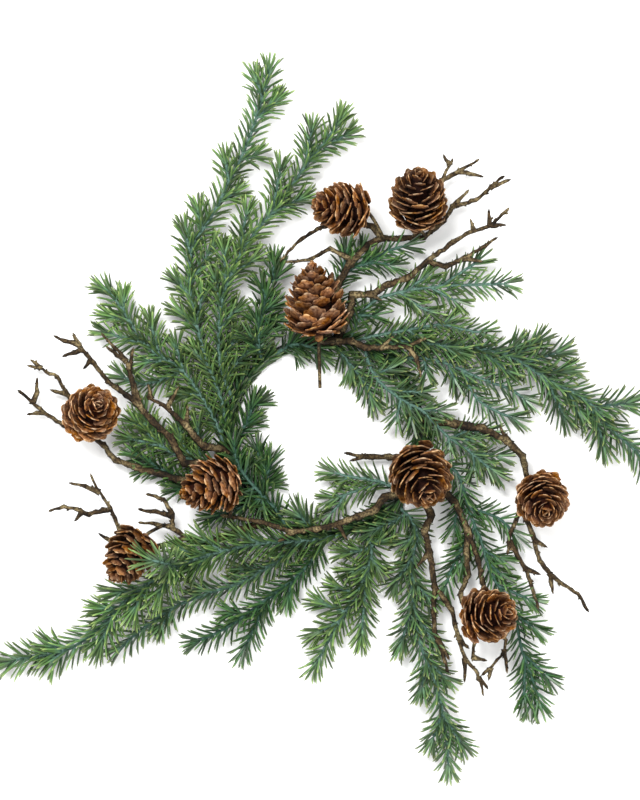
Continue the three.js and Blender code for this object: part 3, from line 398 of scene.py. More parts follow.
# Needles, in millimetres, degrees and shares. Whorls stand closer together near the ring, where
# the needles have painted shade too: DEEP_REACH gives the distances between which both change
NEEDLE_LENGTH = 14.4
NEEDLE_WIDTH = 1.9
NEEDLE_THICKNESS = 1.45
NEEDLE_FOOT = 0.5  # off the middle of the stem
LOWEST_NEEDLE = 0.9  # height of its tip
STEEPEST_NEEDLE = 0.6  # rise for each millimetre of one that is turned up
FULL_WHORLS = {"spacing": (4.0, 5.3), "needles": 6, "flatness": 0.26}
SPARSE_WHORLS = {"spacing": (4.6, 5.2), "needles": 4, "flatness": 0.4}
DEEP_REACH = (12, 75)
# Painted shade: how much darker the needles of each finish are painted nearest the ring
PAINTED_SHADE_NEAR_RING = {"needles_green": 0.28, "needles_deep_green": 0.24, "needles_blue_green": 0.14}
NEEDLE_TONES = (0.38, 1.84)  # of the darkest and the lightest needle
BARE_STEM = 7  # before the first whorl
BARE_SHOOT = 3
NEEDLE_LEAN = 50  # away from the stem's direction
END_CLOSING = 24  # less lean at the very end, from this far before it
END_REACH = 9
TUFT_NEEDLES = 7
TUFT_LEAN = 8
TUFT_SPREAD = 40
TUFT_STEP = 0.382  # of a full round, so that the leans of a tuft never repeat
WHORL_SHIFT = 0.7
LEAN_SHIFT = 5
TURN_SHIFT = 0.14
NEEDLE_SHIFTS = (-0.1, 0.08)  # of its length
STEM_SAMPLES = 120
STEM_STEP = 4
STEM_POINT = 0.5  # of its radius, at the very end

LONG_NEEDLED = {"spray_lower_left_long": 1.25, "spray_right_long": 1.15}
SPARSE = (
    "spray_upper_right", "spray_right_upper", "spray_under_cones", "spray_right_middle",
    "spray_ring_right", "spray_inner_bottom", "spray_bottom_right",
)
# These grow outwards only, and none of their needles reach into the hole
OUTSIDE = ("spray_top_left", "spray_left_long", "spray_left_upper", "spray_left_middle")
HOLE_REACH = 62

# Needles along the ring, as arcs of it, the sides of the wire that they grow on, and their leans,
# all in degrees
RING_COVER = (
    ((124, 180), (-35, 115), (28, 58)), ((122, 182), (95, 205), (6, 20)),
    ((186, 232), (-35, 215), (28, 58)), ((238, 322), (-35, 215), (28, 58)),
    ((-8, 104), (-35, 215), (28, 58)),
)
RING_COVER_NEEDLES = 1.5  # for each millimetre of the ring
RING_COVER_LENGTHS = (0.8, 1)

# Twigs and their buds, in millimetres, radians and shares
TWIG_FULLNESS = 1.5  # of the solid's radii, and less at the tip
TIP_THINNING = 0.15
KNOT_STEP = 2.8
KNOT_SHIFT = 0.4
BEND_SWELLING = 1.2
KNOT_SIZES = (0.86, 1.1)
BLUNT_TIP = 0.9  # of its radius
BARK_RELIEF = 1.3
BARK_LUMP = 2.6  # across
BUD_RADIUS = 0.9
BUD_EVERY = 3  # knots
BUD_TURN = 1.3
BUD_LEAN = 0.9
BUD_DEPTH = 0.8  # of the twig's radius
BUD_SIZES = (0.7, 1.15)
BUD_TWIG = 1.4  # a thinner twig has smaller buds

# Cones and their scales, in millimetres, degrees and shares of the way from base to tip
GOLDEN_ANGLE = math.radians(137.508)
SCALE_LENGTH = 13
SCALE_WIDTH = 14
SCALE_THICKNESS = 0.7
SCALES_PER_CONE = 76
SCALED_WIDTH = 42  # of a cone whose scales have the size above
SCALE_SPAN = (0.02, 0.97)
SCALE_CROWDING = 0.94  # towards the tip
SCALE_OPENING = ((0, 0.1, 0.3, 0.6, 0.85, 1), (103, 73, 50, 41, 31, 4))
SCALE_BREADTH = ((0, 0.12, 0.45, 0.8, 1), (0.66, 0.94, 1.06, 0.74, 0.46))
SCALE_RAGGEDNESS = ((0, 0.2), (0.22, 0.06))  # outwards; LIP_SHIFT is inwards
TIP_CLOSING = ((0.8, 0.92, 1), (1, 0.75, 0.2))
LIP_SHIFT = 0.1
SPIRAL_SHIFT = 0.1
OPENING_SHIFT = 13
ROLL_SHIFT = 0.28
SCALE_SIZES = (0.85, 1.12)
THINNEST_SCALE = 0.7  # of its thickness
CONE_HEART = 0.3  # radius of the core, of the cone's width
HEART_SPAN = (0.04, 0.84)
KNOB_SIZE = 3
KNOB_FORM = ((-0.07, 0.4), (-0.05, 0.85), (-0.01, 1), (0.03, 0.9))
STALK_FULLNESS = 1.15

# The wires that tie the stems to the ring, in millimetres
TIE_TURNS = 3.2
TIE_PITCH = 1.0
TIE_RADIUS = 0.4
TIE_REACH = 0.25  # off the ring's surface
TIE_POINTS = 34

# The camera looks straight down from 4 m, and the picture is 800 rows of the layout high
CAMERA_HEIGHT = 4.0
PICTURE_HEIGHT = 560
PICTURE_MIDDLE = (320, 400)

PART_SLOT = {part["node"]: part["material_slot"] for part in frame["record"]["subparts"]}
ring_low, ring_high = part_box("ring")
RING_MIDDLE = np.array(
    [(ring_low[0] + ring_high[0]) / 2, (ring_low[1] + ring_high[1]) / 2, 0]
)


# Routes


def place_of(column, row, height=0):
    """The place, in millimetres from the middle of the ring, of a column and row."""
    return np.array(
        [(column - RING_COLUMN) * LAYOUT_STEP, (RING_ROW - row) * LAYOUT_STEP, height], float
    )


def in_frame(points):
    """Millimetres round the ring to metres in the frame."""
    return np.asarray(points) * MM + RING_MIDDLE


def unit(vector):
    """A direction, with a length of 1."""
    return vector / np.linalg.norm(vector)


class Route:
    """A smooth route through points, read by its share of length."""

    def __init__(self, points):
        self.points = np.asarray(points, float)
        self.turns = np.linspace(0, 1, ROUTE_SAMPLES)
        spread = self.at_turn(self.turns)
        steps = np.linalg.norm(np.diff(spread, axis=0), axis=1)
        self.reach = np.concatenate([[0], np.cumsum(steps)])
        self.length = self.reach[-1]

    def at_turn(self, turn):
        """Centripetal Catmull-Rom: equal turns between one point and the next."""
        last = len(self.points) - 1
        turn = np.atleast_1d(turn) * last
        piece = np.minimum(turn.astype(int), last - 1)
        along = (turn - piece)[:, None]
        first = 2 * self.points[0] - self.points[1]
        after = 2 * self.points[-1] - self.points[-2]
        row = np.vstack([first, self.points, after])
        before, start, end, beyond = (row[piece + shift] for shift in range(4))
        gaps = [
            np.sum((b - a) ** 2, axis=1)[:, None] ** 0.25
            for a, b in ((before, start), (start, end), (end, beyond))
        ]
        # Points that coincide leave no gap, and are given one
        gaps[1] = np.where(gaps[1] < 1e-4, 1, gaps[1])
        gaps[0] = np.where(gaps[0] < 1e-4, gaps[1], gaps[0])
        gaps[2] = np.where(gaps[2] < 1e-4, gaps[1], gaps[2])
        leaving = (start - before) / gaps[0] - (end - before) / (gaps[0] + gaps[1])
        leaving = (leaving + (end - start) / gaps[1]) * gaps[1]
        arriving = (end - start) / gaps[1] - (beyond - start) / (gaps[1] + gaps[2])
        arriving = (arriving + (beyond - end) / gaps[2]) * gaps[1]
        square = 3 * (end - start) - 2 * leaving - arriving
        cube = 2 * (start - end) + leaving + arriving
        return start + leaving * along + square * along**2 + cube * along**3

    def at(self, share):
        """The place at a share of the length, or the places at several."""
        share = np.atleast_1d(share)
        return self.at_turn(np.interp(share * self.length, self.reach, self.turns))

    def share_of_points(self):
        """The share of length at each of the points that the route was drawn through."""
        turns = np.linspace(0, 1, len(self.points))
        return np.interp(turns, self.turns, self.reach) / self.length


# Room that is taken up so far, as balls along every stem, stalk and cone

taken = {"owner": np.empty(0, int), "place": np.empty((0, 3)), "radius": np.empty(0)}
owners = {}


def occupy(owner, places, radii):
    """Takes up room with balls."""
    number = owners.setdefault(owner, len(owners))
    taken["owner"] = np.append(taken["owner"], np.full(len(places), number))
    taken["place"] = np.vstack([taken["place"], places])
    taken["radius"] = np.append(taken["radius"], radii)


def occupy_path(owner, path, radius_at):
    """Takes up room along a path, with a radius for each share of it."""
    places = []
    radii = []
    for index in range(1, len(path)):
        start, end = path[index - 1], path[index]
        count = math.ceil(np.linalg.norm(end - start) / BALL_STEP)
        for step in range(count + 1):
            places.append(start + (end - start) * step / count)
            radii.append(radius_at((index - 1 + step / count) / (len(path) - 1)))
    occupy(owner, np.array(places), np.array(radii))


def clear_height(owner, start, end, radius):
    """Height at which a stretch of stem passes clear over everything laid before it."""
    others = taken["owner"] != owners.get(owner, -1)
    places = taken["place"][others]
    stretch = (end - start)[:2]
    offset = places[:, :2] - start[:2]
    share = np.clip(offset @ stretch / max(stretch @ stretch, 1e-6), 0, 1)
    aside = np.linalg.norm(offset - share[:, None] * stretch, axis=1)
    reach = taken["radius"][others] + radius + PASSING_GAP
    met = aside < reach
    if not met.any():
        return -math.inf
    return np.max(places[met, 2] + np.sqrt(reach[met] ** 2 - aside[met] ** 2))


def laid_path(owner, points, step, radius, end_needle):
    """Spaces a route evenly and arches it over what lies in its way."""
    route = Route(points)
    stem_share = max((route.length - end_needle) / route.length, SHORTEST_STEM_SHARE)
    count = max(1, math.floor(route.length * stem_share / step + 0.5))
    shares = list(np.arange(count + 1) * stem_share / count)
    if end_needle:
        shares.append(1)
    path = route.at(shares)
    last = len(path) - 1
    for index in range(1, last):
        height = clear_height(owner, path[index], path[index + 1], radius)
        path[index, 2] = max(path[index, 2], height)
        path[index + 1, 2] = max(path[index + 1, 2], height)
    rise = STEEPEST_RISE * step
    for index in range(last - 1, 0, -1):
        path[index, 2] = max(path[index, 2], path[index + 1, 2] - rise)
    for index in range(2, last + 1):
        path[index, 2] = max(path[index, 2], path[index - 1, 2] - rise)
    return {"path": path, "route": route, "shares": np.array(shares)}


def nearest_place(parts, place):
    """The point of some laid parts that lies nearest to a place in plan, and their radius there."""
    best = None
    for part in parts:
        path = part["path"]
        for index in range(1, len(path)):
            stretch = path[index] - path[index - 1]
            offset = place - path[index - 1]
            along = offset[:2] @ stretch[:2] / (stretch[:2] @ stretch[:2] + 1e-6)
            share = min(max(along, 0), 1)
            point = path[index - 1] + stretch * share
            aside = np.linalg.norm(point[:2] - place[:2])
            if best is None or aside < best[0]:
                best = (aside, point, part["radius_at"]((index - 1 + share) / (len(path) - 1)))
    return best[1], best[2]


def taper(thick, thin):
    """A radius for each share of a stem."""
    return lambda share: thick + (thin - thick) * share


def polygon_reach(degrees, sides, edge_distance):
    """Distance from the middle of a regular polygon to its edge."""
    half = 180 / sides
    offset = (degrees + half) % (2 * half) - half
    return edge_distance / math.cos(math.radians(offset))


def ring_seat(seat, onward, radius):
    """Where a stem meets the wire: close to its surface, on the side that the seat gives."""
    turn, lift = (math.radians(angle) for angle in seat)
    ring_edge = RING_RADIUS * math.cos(math.pi / RING_SEGMENTS)
    reach = polygon_reach(seat[0] - 180 / RING_SEGMENTS, RING_SEGMENTS, ring_edge)
    outward = np.array([math.cos(turn), math.sin(turn), 0])
    centre = outward * reach + (0, 0, RING_THICKNESS / 2)
    away = outward * math.cos(lift) + (0, 0, math.sin(lift))
    surface = polygon_reach(seat[1] - 90, RING_SIDES, RING_THICKNESS / 2)
    facing = min(max(unit(onward - centre) @ away, 0), 1)
    return centre + away * (surface + SEAT_GAP + radius * math.sqrt(1 - facing**2))


def lay_plant(owner, growth, seat, stem, branches):
    """Lays a stem from its seat on the ring, then the branches that leave it."""
    points = [place_of(*point) for point in stem]
    thick, thin = growth["stem"]
    start = ring_seat(seat, points[0], thick)
    main = laid_path(owner, [start, *points], growth["step"], thick, growth["end_needle"])
    main["radius_at"] = taper(thick, thin)
    parts = [main]
    thick, thin = growth["branch"]
    for branch in branches:
        root = nearest_place(parts, place_of(*branch[0]))[0]
        route = [root]
        for column, row in branch[1:]:
            place = place_of(column, row)
            place[2] = root[2] + CLIMB * np.linalg.norm((place - root)[:2])
            route.append(place)
        part = laid_path(owner, route, growth["step"], thick, growth["end_needle"])
        part["radius_at"] = taper(thick, thin)
        parts.append(part)
    for part in parts:
        occupy_path(owner, part["path"], part["radius_at"])
    return parts


def lay_ring():
    """Takes up the room of the wire."""
    turns = np.linspace(0, 2 * math.pi, RING_SEGMENTS + 1)
    line = np.column_stack([
        RING_RADIUS * np.cos(turns),
        RING_RADIUS * np.sin(turns),
        np.full(len(turns), RING_THICKNESS / 2),
    ])
    occupy_path("ring", line, taper(RING_THICKNESS / 2, RING_THICKNESS / 2))


def lay_cone(name, cone, carrier):
    """Rests a cone clear above what lies under it, and runs its stalk to the twig under it."""
    axis = unit(np.array(cone.tip, float))
    base = place_of(*cone.middle) - axis * cone.length / 2
    body = np.array([base + axis * along * cone.length for along, _ in CONE_PROFILE])
    radii = np.array([max(half * cone.width / 2, CONE_LEAST_REACH) for _, half in CONE_PROFILE])
    lift = 0
    for centre, radius in zip(body, radii):
        reach = taken["radius"] + radius + PASSING_GAP
        aside = np.linalg.norm(taken["place"][:, :2] - centre[:2], axis=1)
        met = aside < reach
        if met.any():
            top = taken["place"][met, 2] + np.sqrt(reach[met] ** 2 - aside[met] ** 2)
            lift = max(lift, np.max(top) - centre[2])
    up = np.array([0, 0, lift])
    base = base + up
    occupy(name, body + up, radii)
    seat, radius = nearest_place(carrier, place_of(*cone.at))
    seat = seat + (0, 0, radius + STALK_GAP)
    stalk = Route([
        base + axis * cone.length * STALK_DEPTH_SHARE,
        base - axis * STALK_DROP,
        seat + (0, 0, STALK_LIFT),
        seat,
    ])
    stalks = [stalk.at(np.linspace(0, 1, 12))]
    occupy_path(name, stalk.at(np.linspace(0, 1, 6)), taper(STALK_RADIUS, STALK_RADIUS))
    if cone.tail:
        points = [base, *(place_of(*point) for point in cone.tail)]
        tail = laid_path(name, points, TWIG_GROWTH["step"], STALK_RADIUS, 0)["path"]
        occupy_path(name, tail, taper(STALK_RADIUS, STALK_RADIUS))
        stalks.append(Route(tail).at(np.linspace(0, 1, 16)))
    return {"base": base, "axis": axis, "stalks": stalks, "body": body + up, "radii": radii}


# Modelling


def put_down():
    """Deselects everything, so that an operator acts on the new thing alone."""
    bpy.ops.object.select_all(action="DESELECT")


def take_up(*things):
    """Selects these things alone, with the first one active."""
    put_down()
    for thing in things:
        thing.select_set(True)
    bpy.context.view_layer.objects.active = things[0]


def named(name):
    """Names the thing that was made last."""
    thing = bpy.context.object
    thing.name = name
    thing.data.name = name
    return thing


def shape_points():
    """Opens the active thing in edit mode, where its points are picked and moved."""
    bpy.ops.object.mode_set(mode="EDIT")
    bpy.ops.mesh.select_mode(type="VERT")


def pick(thing, test):
    """Selects the points of a thing in edit mode that pass a test on their place."""
    shape = bmesh.from_edit_mesh(thing.data)
    for point in shape.verts:
        point.select_set(bool(test(point.co)))
    shape.select_flush(True)
    bmesh.update_edit_mesh(thing.data)


def cut_across(height):
    """A ring of new points round the whole thing at a height."""
    bpy.ops.mesh.select_all(action="SELECT")
    bpy.ops.mesh.bisect(plane_co=(0, 0, height), plane_no=(0, 0, 1))


def taken_apart(thing):
    """The points and faces of a modelled thing, in millimetres; the thing itself is removed.
    The faces are sorted, because those of a sphere come in another order each run."""
    points = np.array([point.co[:] for point in thing.data.vertices]) / MM
    faces = sorted(tuple(face.vertices) for face in thing.data.polygons)
    bpy.data.objects.remove(thing)
    return points, faces


def model_needle():
    """One four-sided needle along +Z, its ridge to +Y: narrow foot, even width, blunt end."""
    put_down()
    length = NEEDLE_LENGTH * MM
    bpy.ops.mesh.primitive_cylinder_add(
        vertices=4, radius=NEEDLE_WIDTH / 2 * MM, depth=length, location=(0, 0, length / 2)
    )
    needle = named("needle_model")
    bpy.ops.object.transform_apply(location=True)
    shape_points()
    bpy.ops.transform.resize(value=(1, NEEDLE_THICKNESS / NEEDLE_WIDTH, 1))
    even_from, even_to = 0.14, 0.86
    cut_across(length * even_from)
    cut_across(length * even_to)
    # Shares of the length, width and thickness, and how far it droops there in millimetres
    rows = ((0, 0.6, 0.8, 0), (even_to, 0.85, 0.85, 0.3), (1, 0.3, 0.3, 0))
    for share, width, thickness, droop in rows:
        pick(needle, lambda place: abs(place.z - share * length) < 0.1 * length)
        bpy.ops.transform.resize(value=(width, thickness, 1))
        bpy.ops.transform.translate(value=(0, -droop * MM, 0))
    bpy.ops.object.mode_set(mode="OBJECT")
    return taken_apart(needle)


def model_scale():
    """One cone scale along +Y, its outer face to +Z: a thin cupped plate with a rounded lip."""
    put_down()
    length = SCALE_LENGTH * MM
    bpy.ops.mesh.primitive_grid_add(
        x_subdivisions=4, y_subdivisions=4, size=length, location=(0, length / 2, 0)
    )
    scale = named("scale_model")
    bpy.ops.object.transform_apply(location=True)
    shape_points()
    widen = SCALE_WIDTH / SCALE_LENGTH
    # Shares of the length and width, and how far it stands out there in millimetres
    rows = ((0, 0.35, 0), (0.25, 0.7, 0.6), (0.5, 1, 0.9), (0.75, 0.9, 0.8), (1, 0.54, 0.6))
    for share, width, rise in rows:
        pick(scale, lambda place: abs(place.y - share * length) < 0.1 * length)
        bpy.ops.transform.resize(value=(width * widen, 1, 1))
        bpy.ops.transform.translate(value=(0, 0, rise * MM))
    # The lip is rounded: its outer points are drawn back, and its middle stands forward
    pick(scale, lambda place: place.y > 0.9 * length and abs(place.x) > 0.25 * length)
    bpy.ops.transform.translate(value=(0, -0.17 * length, 0))
    pick(scale, lambda place: place.y > 0.9 * length and abs(place.x) < 0.05 * length)
    bpy.ops.transform.translate(value=(0, 0.05 * length, 0.1 * MM))
    # The plate is cupped: its side edges bend in, towards the cone
    pick(scale, lambda place: abs(place.x) > 0.3 * length * widen and place.y > 0.2 * length)
    bpy.ops.transform.translate(value=(0, 0, -0.7 * MM))
    bpy.ops.object.mode_set(mode="OBJECT")
    plate = scale.modifiers.new("plate", "SOLIDIFY")
    plate.thickness = SCALE_THICKNESS * MM
    plate.offset = -1
    bpy.ops.object.modifier_apply(modifier="plate")
    return taken_apart(scale)


def model_bud():
    """One blunt bud along +Z, as it sits on a twig: a small ball drawn out to a soft point."""
    put_down()
    bpy.ops.mesh.primitive_uv_sphere_add(segments=6, ring_count=4, radius=BUD_RADIUS * MM)
    bud = named("bud_model")
    shape_points()
    bpy.ops.mesh.select_all(action="SELECT")
    bpy.ops.transform.resize(value=(1, 1, 1.5))
    pick(bud, lambda place: place.z > 1.2 * MM)
    bpy.ops.transform.translate(value=(0, 0, 0.6 * MM))
    bpy.ops.object.mode_set(mode="OBJECT")
    return taken_apart(bud)


# A copy of a modelled shape: its place, its turn as three columns, its size along each of its
# own directions, and a share from 0 to 1 that sets it apart from the others
Copy = namedtuple("Copy", "place turn size tint", defaults=(0,))


def turned(reach, outward):
    """Columns that turn a model so that it runs along a reach, with its ridge outward."""
    ridge = unit(np.cross(reach, np.cross(outward, reach)))
    return np.column_stack([np.cross(ridge, reach), ridge, reach])


def repeated(name, model, copies):
    """One mesh with all copies of a modelled shape."""
    points, faces = model
    places = np.array([copy.place for copy in copies])
    turns = np.array([copy.turn for copy in copies])
    sizes = np.array([copy.size for copy in copies])
    spread = np.einsum("nij,nvj->nvi", turns, points[None] * sizes[:, None, :])
    spread = in_frame((spread + places[:, None]).reshape(-1, 3))
    every = [
        tuple(corner + len(points) * number for corner in face)
        for number in range(len(copies))
        for face in faces
    ]
    mesh = bpy.data.meshes.new(name)
    mesh.from_pydata(spread, [], every)
    thing = bpy.data.objects.new(name, mesh)
    bpy.context.scene.collection.objects.link(thing)
    return thing


def mark(thing, *shares):
    """Stores up to three shares for each point, which the finishes read as the colour 'grown'."""
    layer = thing.data.attributes.new("grown", "FLOAT_COLOR", "POINT")
    colours = np.ones((len(thing.data.vertices), 4), np.float32)
    colours[:, : len(shares)] = np.column_stack(shares)
    layer.data.foreach_set("color", colours.ravel())


def facing_up(thing):
    """For each point, 1 where the surface faces straight up and 0 from the sides down, from which
    the finishes paint shade.
    """
    return np.array([max(point.normal.z, 0) for point in thing.data.vertices])


def tubes(name, lines, sides, finish=None):
    """Round stems along lines of (points, radii), with closed ends, as one mesh."""
    curve = bpy.data.curves.new(name, "CURVE")
    curve.dimensions = "3D"
    curve.bevel_depth = MM
    curve.bevel_resolution = sides // 2 - 2
    curve.use_fill_caps = True
    for points, radii in lines:
        spline = curve.splines.new("POLY")
        spline.points.add(len(points) - 1)
        for point, place, radius in zip(spline.points, in_frame(points), radii):
            point.co = (*place, 1)
            point.radius = radius
    thing = bpy.data.objects.new(name, curve)
    bpy.context.scene.collection.objects.link(thing)
    take_up(thing)
    bpy.ops.object.convert(target="MESH")
    thing = bpy.context.object
    if finish:
        thing.data.materials.append(finish)
    return thing


def joined(name, *things):
    """Makes one piece of several things."""
    take_up(*things)
    bpy.ops.object.join()
    return named(name)


def smooth(thing, degrees):
    """Shades a thing smooth, apart from edges sharper than this."""
    take_up(thing)
    bpy.ops.object.shade_smooth_by_angle(angle=math.radians(degrees))


def finished(thing, name, finish=None):
    """Lets a piece stand for its node, in this finish or in those that it already has."""
    if finish:
        thing.data.materials.append(finish)
    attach(thing, "root")
    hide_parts(name)


# Finishes. The sizes of their patterns are in millimetres. Real flock, cracks and grain are finer
# than one millimetre; they are drawn at 1.4 to 2.2, two or three pixels of the picture, to show.

BLEND = {"data_type": "RGBA"}
MULTIPLY = {"data_type": "RGBA", "blend_type": "MULTIPLY"}


def hue(code):
    """An sRGB hex colour as linear light."""
    parts = [int(code[start : start + 2], 16) / 255 for start in (1, 3, 5)]
    linear = [
        part / 12.92 if part <= 0.04045 else ((part + 0.055) / 1.055) ** 2.4 for part in parts
    ]
    return (*linear, 1)


def new_finish(name, roughness, glare=0.25):
    """A finish with its roughness, and how strongly it mirrors square-on: 0.5 is usual."""
    finish = bpy.data.materials.new(name)
    finish.use_nodes = True
    shader = finish.node_tree.nodes["Principled BSDF"]
    shader.inputs["Roughness"].default_value = roughness
    shader.inputs["Specular IOR Level"].default_value = glare
    return finish


def node(finish, kind, fields):
    """Adds a node to a finish with its settings and links, and gives its first output in use.

    Each field is a property, a colour ramp's stops, or an input by its name, or by its number
    where two have the same name. An input's value may be an output of another node.
    """
    tree = finish.node_tree
    made = tree.nodes.new("ShaderNode" + kind)
    for name, value in fields.items():
        if name == "stops":
            stops = made.color_ramp.elements
            while len(stops) < len(value):
                stops.new(0.5)
            for stop, (position, code) in zip(stops, value):
                stop.position = position
                stop.color = hue(code)
        elif hasattr(made, str(name)):
            setattr(made, name, value)
        else:
            used = [socket for socket in made.inputs if socket.enabled]
            names = [socket.name for socket in used]
            socket = used[name if isinstance(name, int) else names.index(name)]
            if isinstance(value, bpy.types.NodeSocket):
                tree.links.new(value, socket)
            else:
                socket.default_value = value
    return next(socket for socket in made.outputs if socket.enabled)


def patches(finish, size_mm, detail=2):
    """Soft patches of a real size, from 0 to 1, fixed to the piece."""
    where = node(finish, "TexCoord", {}).node.outputs["Object"]
    fields = {"Scale": 1000 / size_mm, "Detail": detail, "Vector": where}
    return node(finish, "TexNoise", fields)


def grown(finish):
    """The three shares that mark has stored in the mesh."""
    stored = node(finish, "Attribute", {"attribute_name": "grown"})
    return node(finish, "SeparateColor", {"Color": stored}).node.outputs


def covered(finish, colour, relief=None, depth_mm=0):
    """Gives a finish its colour, and a relief of some depth."""
    tree = finish.node_tree
    shader = tree.nodes["Principled BSDF"]
    tree.links.new(colour, shader.inputs["Base Color"])
    if relief:
        fields = {"Strength": 1, "Distance": depth_mm * MM, "Height": relief}
        tree.links.new(node(finish, "Bump", fields), shader.inputs["Normal"])
    return finish


def moulded_needles(name, foot, body, tip, fresh):
    """Polyethylene needles from a mould, satin: bluish at the foot, then green, with a yellower
    tip, and painted shade that makes them darker on their sides and underside than on top. Each
    needle has its own tone, which also carries painted shade near the ring, and some shoots, in
    patches of 45 mm, are fresher."""
    finish = new_finish(name, roughness=0.36, glare=0.5)
    along, tone, top = grown(finish)
    stops = ((0.05, foot), (0.42, body), (0.72, body), (1, tip))
    colour = node(finish, "ValToRGB", {"stops": stops, "Fac": along})
    patch = {"To Min": -0.35, "To Max": 1.15, "Value": patches(finish, 45)}
    clamped = node(finish, "Clamp", {"Value": node(finish, "MapRange", patch)})
    fresher = node(finish, "Mix", {**BLEND, "Factor": 0.45, "A": colour, "B": hue(fresh)})
    colour = node(finish, "Mix", {**BLEND, "Factor": clamped, "A": colour, "B": fresher})
    # Each needle's own tone, darkened by painted shade near the ring, sets its brightness
    colour = node(finish, "HueSaturation", {"Color": colour, "Value": tone})
    # Painted shade: each needle is darker where its surface faces sideways or down
    ridge = node(finish, "ValToRGB", {"stops": ((0, "#6b7c72"), (0.8, "#ffffff")), "Fac": top})
    colour = node(finish, "Mix", {**MULTIPLY, "Factor": 1, "A": colour, "B": ridge})
    return covered(finish, colour)


def frosted_stem(name, plain, frost):
    """Flocked polyethylene stem: a dull green under a dry whitish-blue bloom, in fine speckles."""
    finish = new_finish(name, roughness=0.85)
    speckle = patches(finish, 1.6, 3)
    stops = ((0.36, plain), (0.62, frost))
    colour = node(finish, "ValToRGB", {"stops": stops, "Fac": speckle})
    return covered(finish, colour, speckle, 0.25)


def dry_bark(name):
    """Air-dried twig bark: grey-brown in patches of 9 mm, with darker cracks, and painted shade
    that makes it darker on the sides and underside than on top; quite dull."""
    finish = new_finish(name, roughness=0.88)
    stops = ((0.3, "#1d150b"), (0.48, "#493923"), (0.7, "#968660"))
    colour = node(finish, "ValToRGB", {"stops": stops, "Fac": patches(finish, 9, 4)})
    fine = patches(finish, 1.4, 3)
    cracks = node(finish, "ValToRGB", {"stops": ((0.4, "#4b4138"), (0.6, "#ffffff")), "Fac": fine})
    colour = node(finish, "Mix", {**MULTIPLY, "Factor": 0.85, "A": colour, "B": cracks})
    # Painted shade: darker where the surface faces sideways or down, by the first share stored on
    # the wood
    stops = ((0.15, "#4c443e"), (0.85, "#ffffff"))
    lightening = node(finish, "ValToRGB", {"stops": stops, "Fac": grown(finish)["Red"]})
    colour = node(finish, "Mix", {**MULTIPLY, "Factor": 1, "A": colour, "B": lightening})
    return covered(finish, colour, fine, 0.5)


def dry_scales(name, deep, body, face, lip):
    """Dry cone scales: near-black at the foot where they meet the core, which is painted shade;
    warm brown faces with fine streaks, and a paler lip, rubbed in patches of 5 mm. Each scale has
    its own tint, and is warmer or greyer in patches of 8 mm."""
    finish = new_finish(name, roughness=0.82, glare=0.12)
    along, tint, side = grown(finish)
    # Painted shade: the foot of each scale, down among the others, is near-black
    stops = ((0.1, deep), (0.45, body), (0.82, face), (0.93, face), (1, lip))
    colour = node(finish, "ValToRGB", {"stops": stops, "Fac": along})
    rim = node(finish, "MapRange", {"To Min": -3.2, "To Max": 0.9, "Value": side})
    product = {"operation": "MULTIPLY", "use_clamp": True}
    lightening = node(finish, "Math", {**product, 0: rim, 1: along})
    lightening = node(finish, "Math", {**product, 0: lightening, 1: patches(finish, 5)})
    colour = node(finish, "Mix", {**BLEND, "Factor": lightening, "A": colour, "B": hue(lip)})
    stops = ((0.34, "#75563f"), (0.62, "#ffffff"))
    streaks = node(finish, "ValToRGB", {"stops": stops, "Fac": patches(finish, 2.2, 5)})
    colour = node(finish, "Mix", {**MULTIPLY, "Factor": 0.9, "A": colour, "B": streaks})
    varied = {"To Min": 0.55, "To Max": 1.45}
    tint = node(finish, "MapRange", {**varied, "Value": tint})
    warmth = node(finish, "MapRange", {**varied, "Value": patches(finish, 8)})
    fields = {"Color": colour, "Value": tint, "Saturation": warmth}
    colour = node(finish, "HueSaturation", fields)
    return covered(finish, colour, patches(finish, 1.6, 4), 0.7)


def coated_wire(name):
    """Steel wire dipped in dark green plastic: a soft even gloss with a faint orange-peel."""
    finish = new_finish(name, roughness=0.38)
    stops = ((0.3, "#141d15"), (0.7, "#1f2c1f"))
    colour = node(finish, "ValToRGB", {"stops": stops, "Fac": patches(finish, 6)})
    return covered(finish, colour, patches(finish, 1.0, 1), 0.05)


def pale_paper(name):
    """Matt white card under the wreath, a shade uneven in patches of 300 mm."""
    finish = new_finish(name, roughness=0.95)
    stops = ((0, "#fbfbfa"), (1, "#fefefd"))
    return covered(finish, node(finish, "ValToRGB", {"stops": stops, "Fac": patches(finish, 300)}))


# Colours of the needles at foot, body and tip, and where they are fresher
NEEDLE_FINISHES = {
    "needles_green": moulded_needles(
        "moulded_polyethylene_green", "#587c6a", "#4a6d39", "#8a9c5b", "#788e4a"
    ),
    "needles_deep_green": moulded_needles(
        "moulded_polyethylene_deep_green", "#3d644c", "#36592d", "#6d8345", "#51703c"
    ),
    "needles_blue_green": moulded_needles(
        "moulded_polyethylene_blue_green", "#5d7b69", "#45663a", "#858d50", "#667e52"
    ),
}
# Colours of the stems, plain and frosted
STEM_FINISHES = {
    "needles_green": frosted_stem("flocked_stem_green", "#405a4f", "#617e72"),
    "needles_deep_green": frosted_stem("flocked_stem_deep_green", "#2a463a", "#486559"),
    "needles_blue_green": frosted_stem("flocked_stem_blue_green", "#375449", "#5a766b"),
}
# Colours of the scales at core, body, face and lip; the core colour is painted shade
CONE_FINISHES = {
    "cone_tan": dry_scales("dry_cone_tan", "#2b1007", "#6a4126", "#986a42", "#bf9d77"),
    "cone_brown": dry_scales("dry_cone_brown", "#220d06", "#5e3920", "#8a623e", "#ad8e69"),
}
BARK = dry_bark("dry_bark")
WIRE = coated_wire("plastic_coated_wire")


# Sprays, twigs, cones and ring


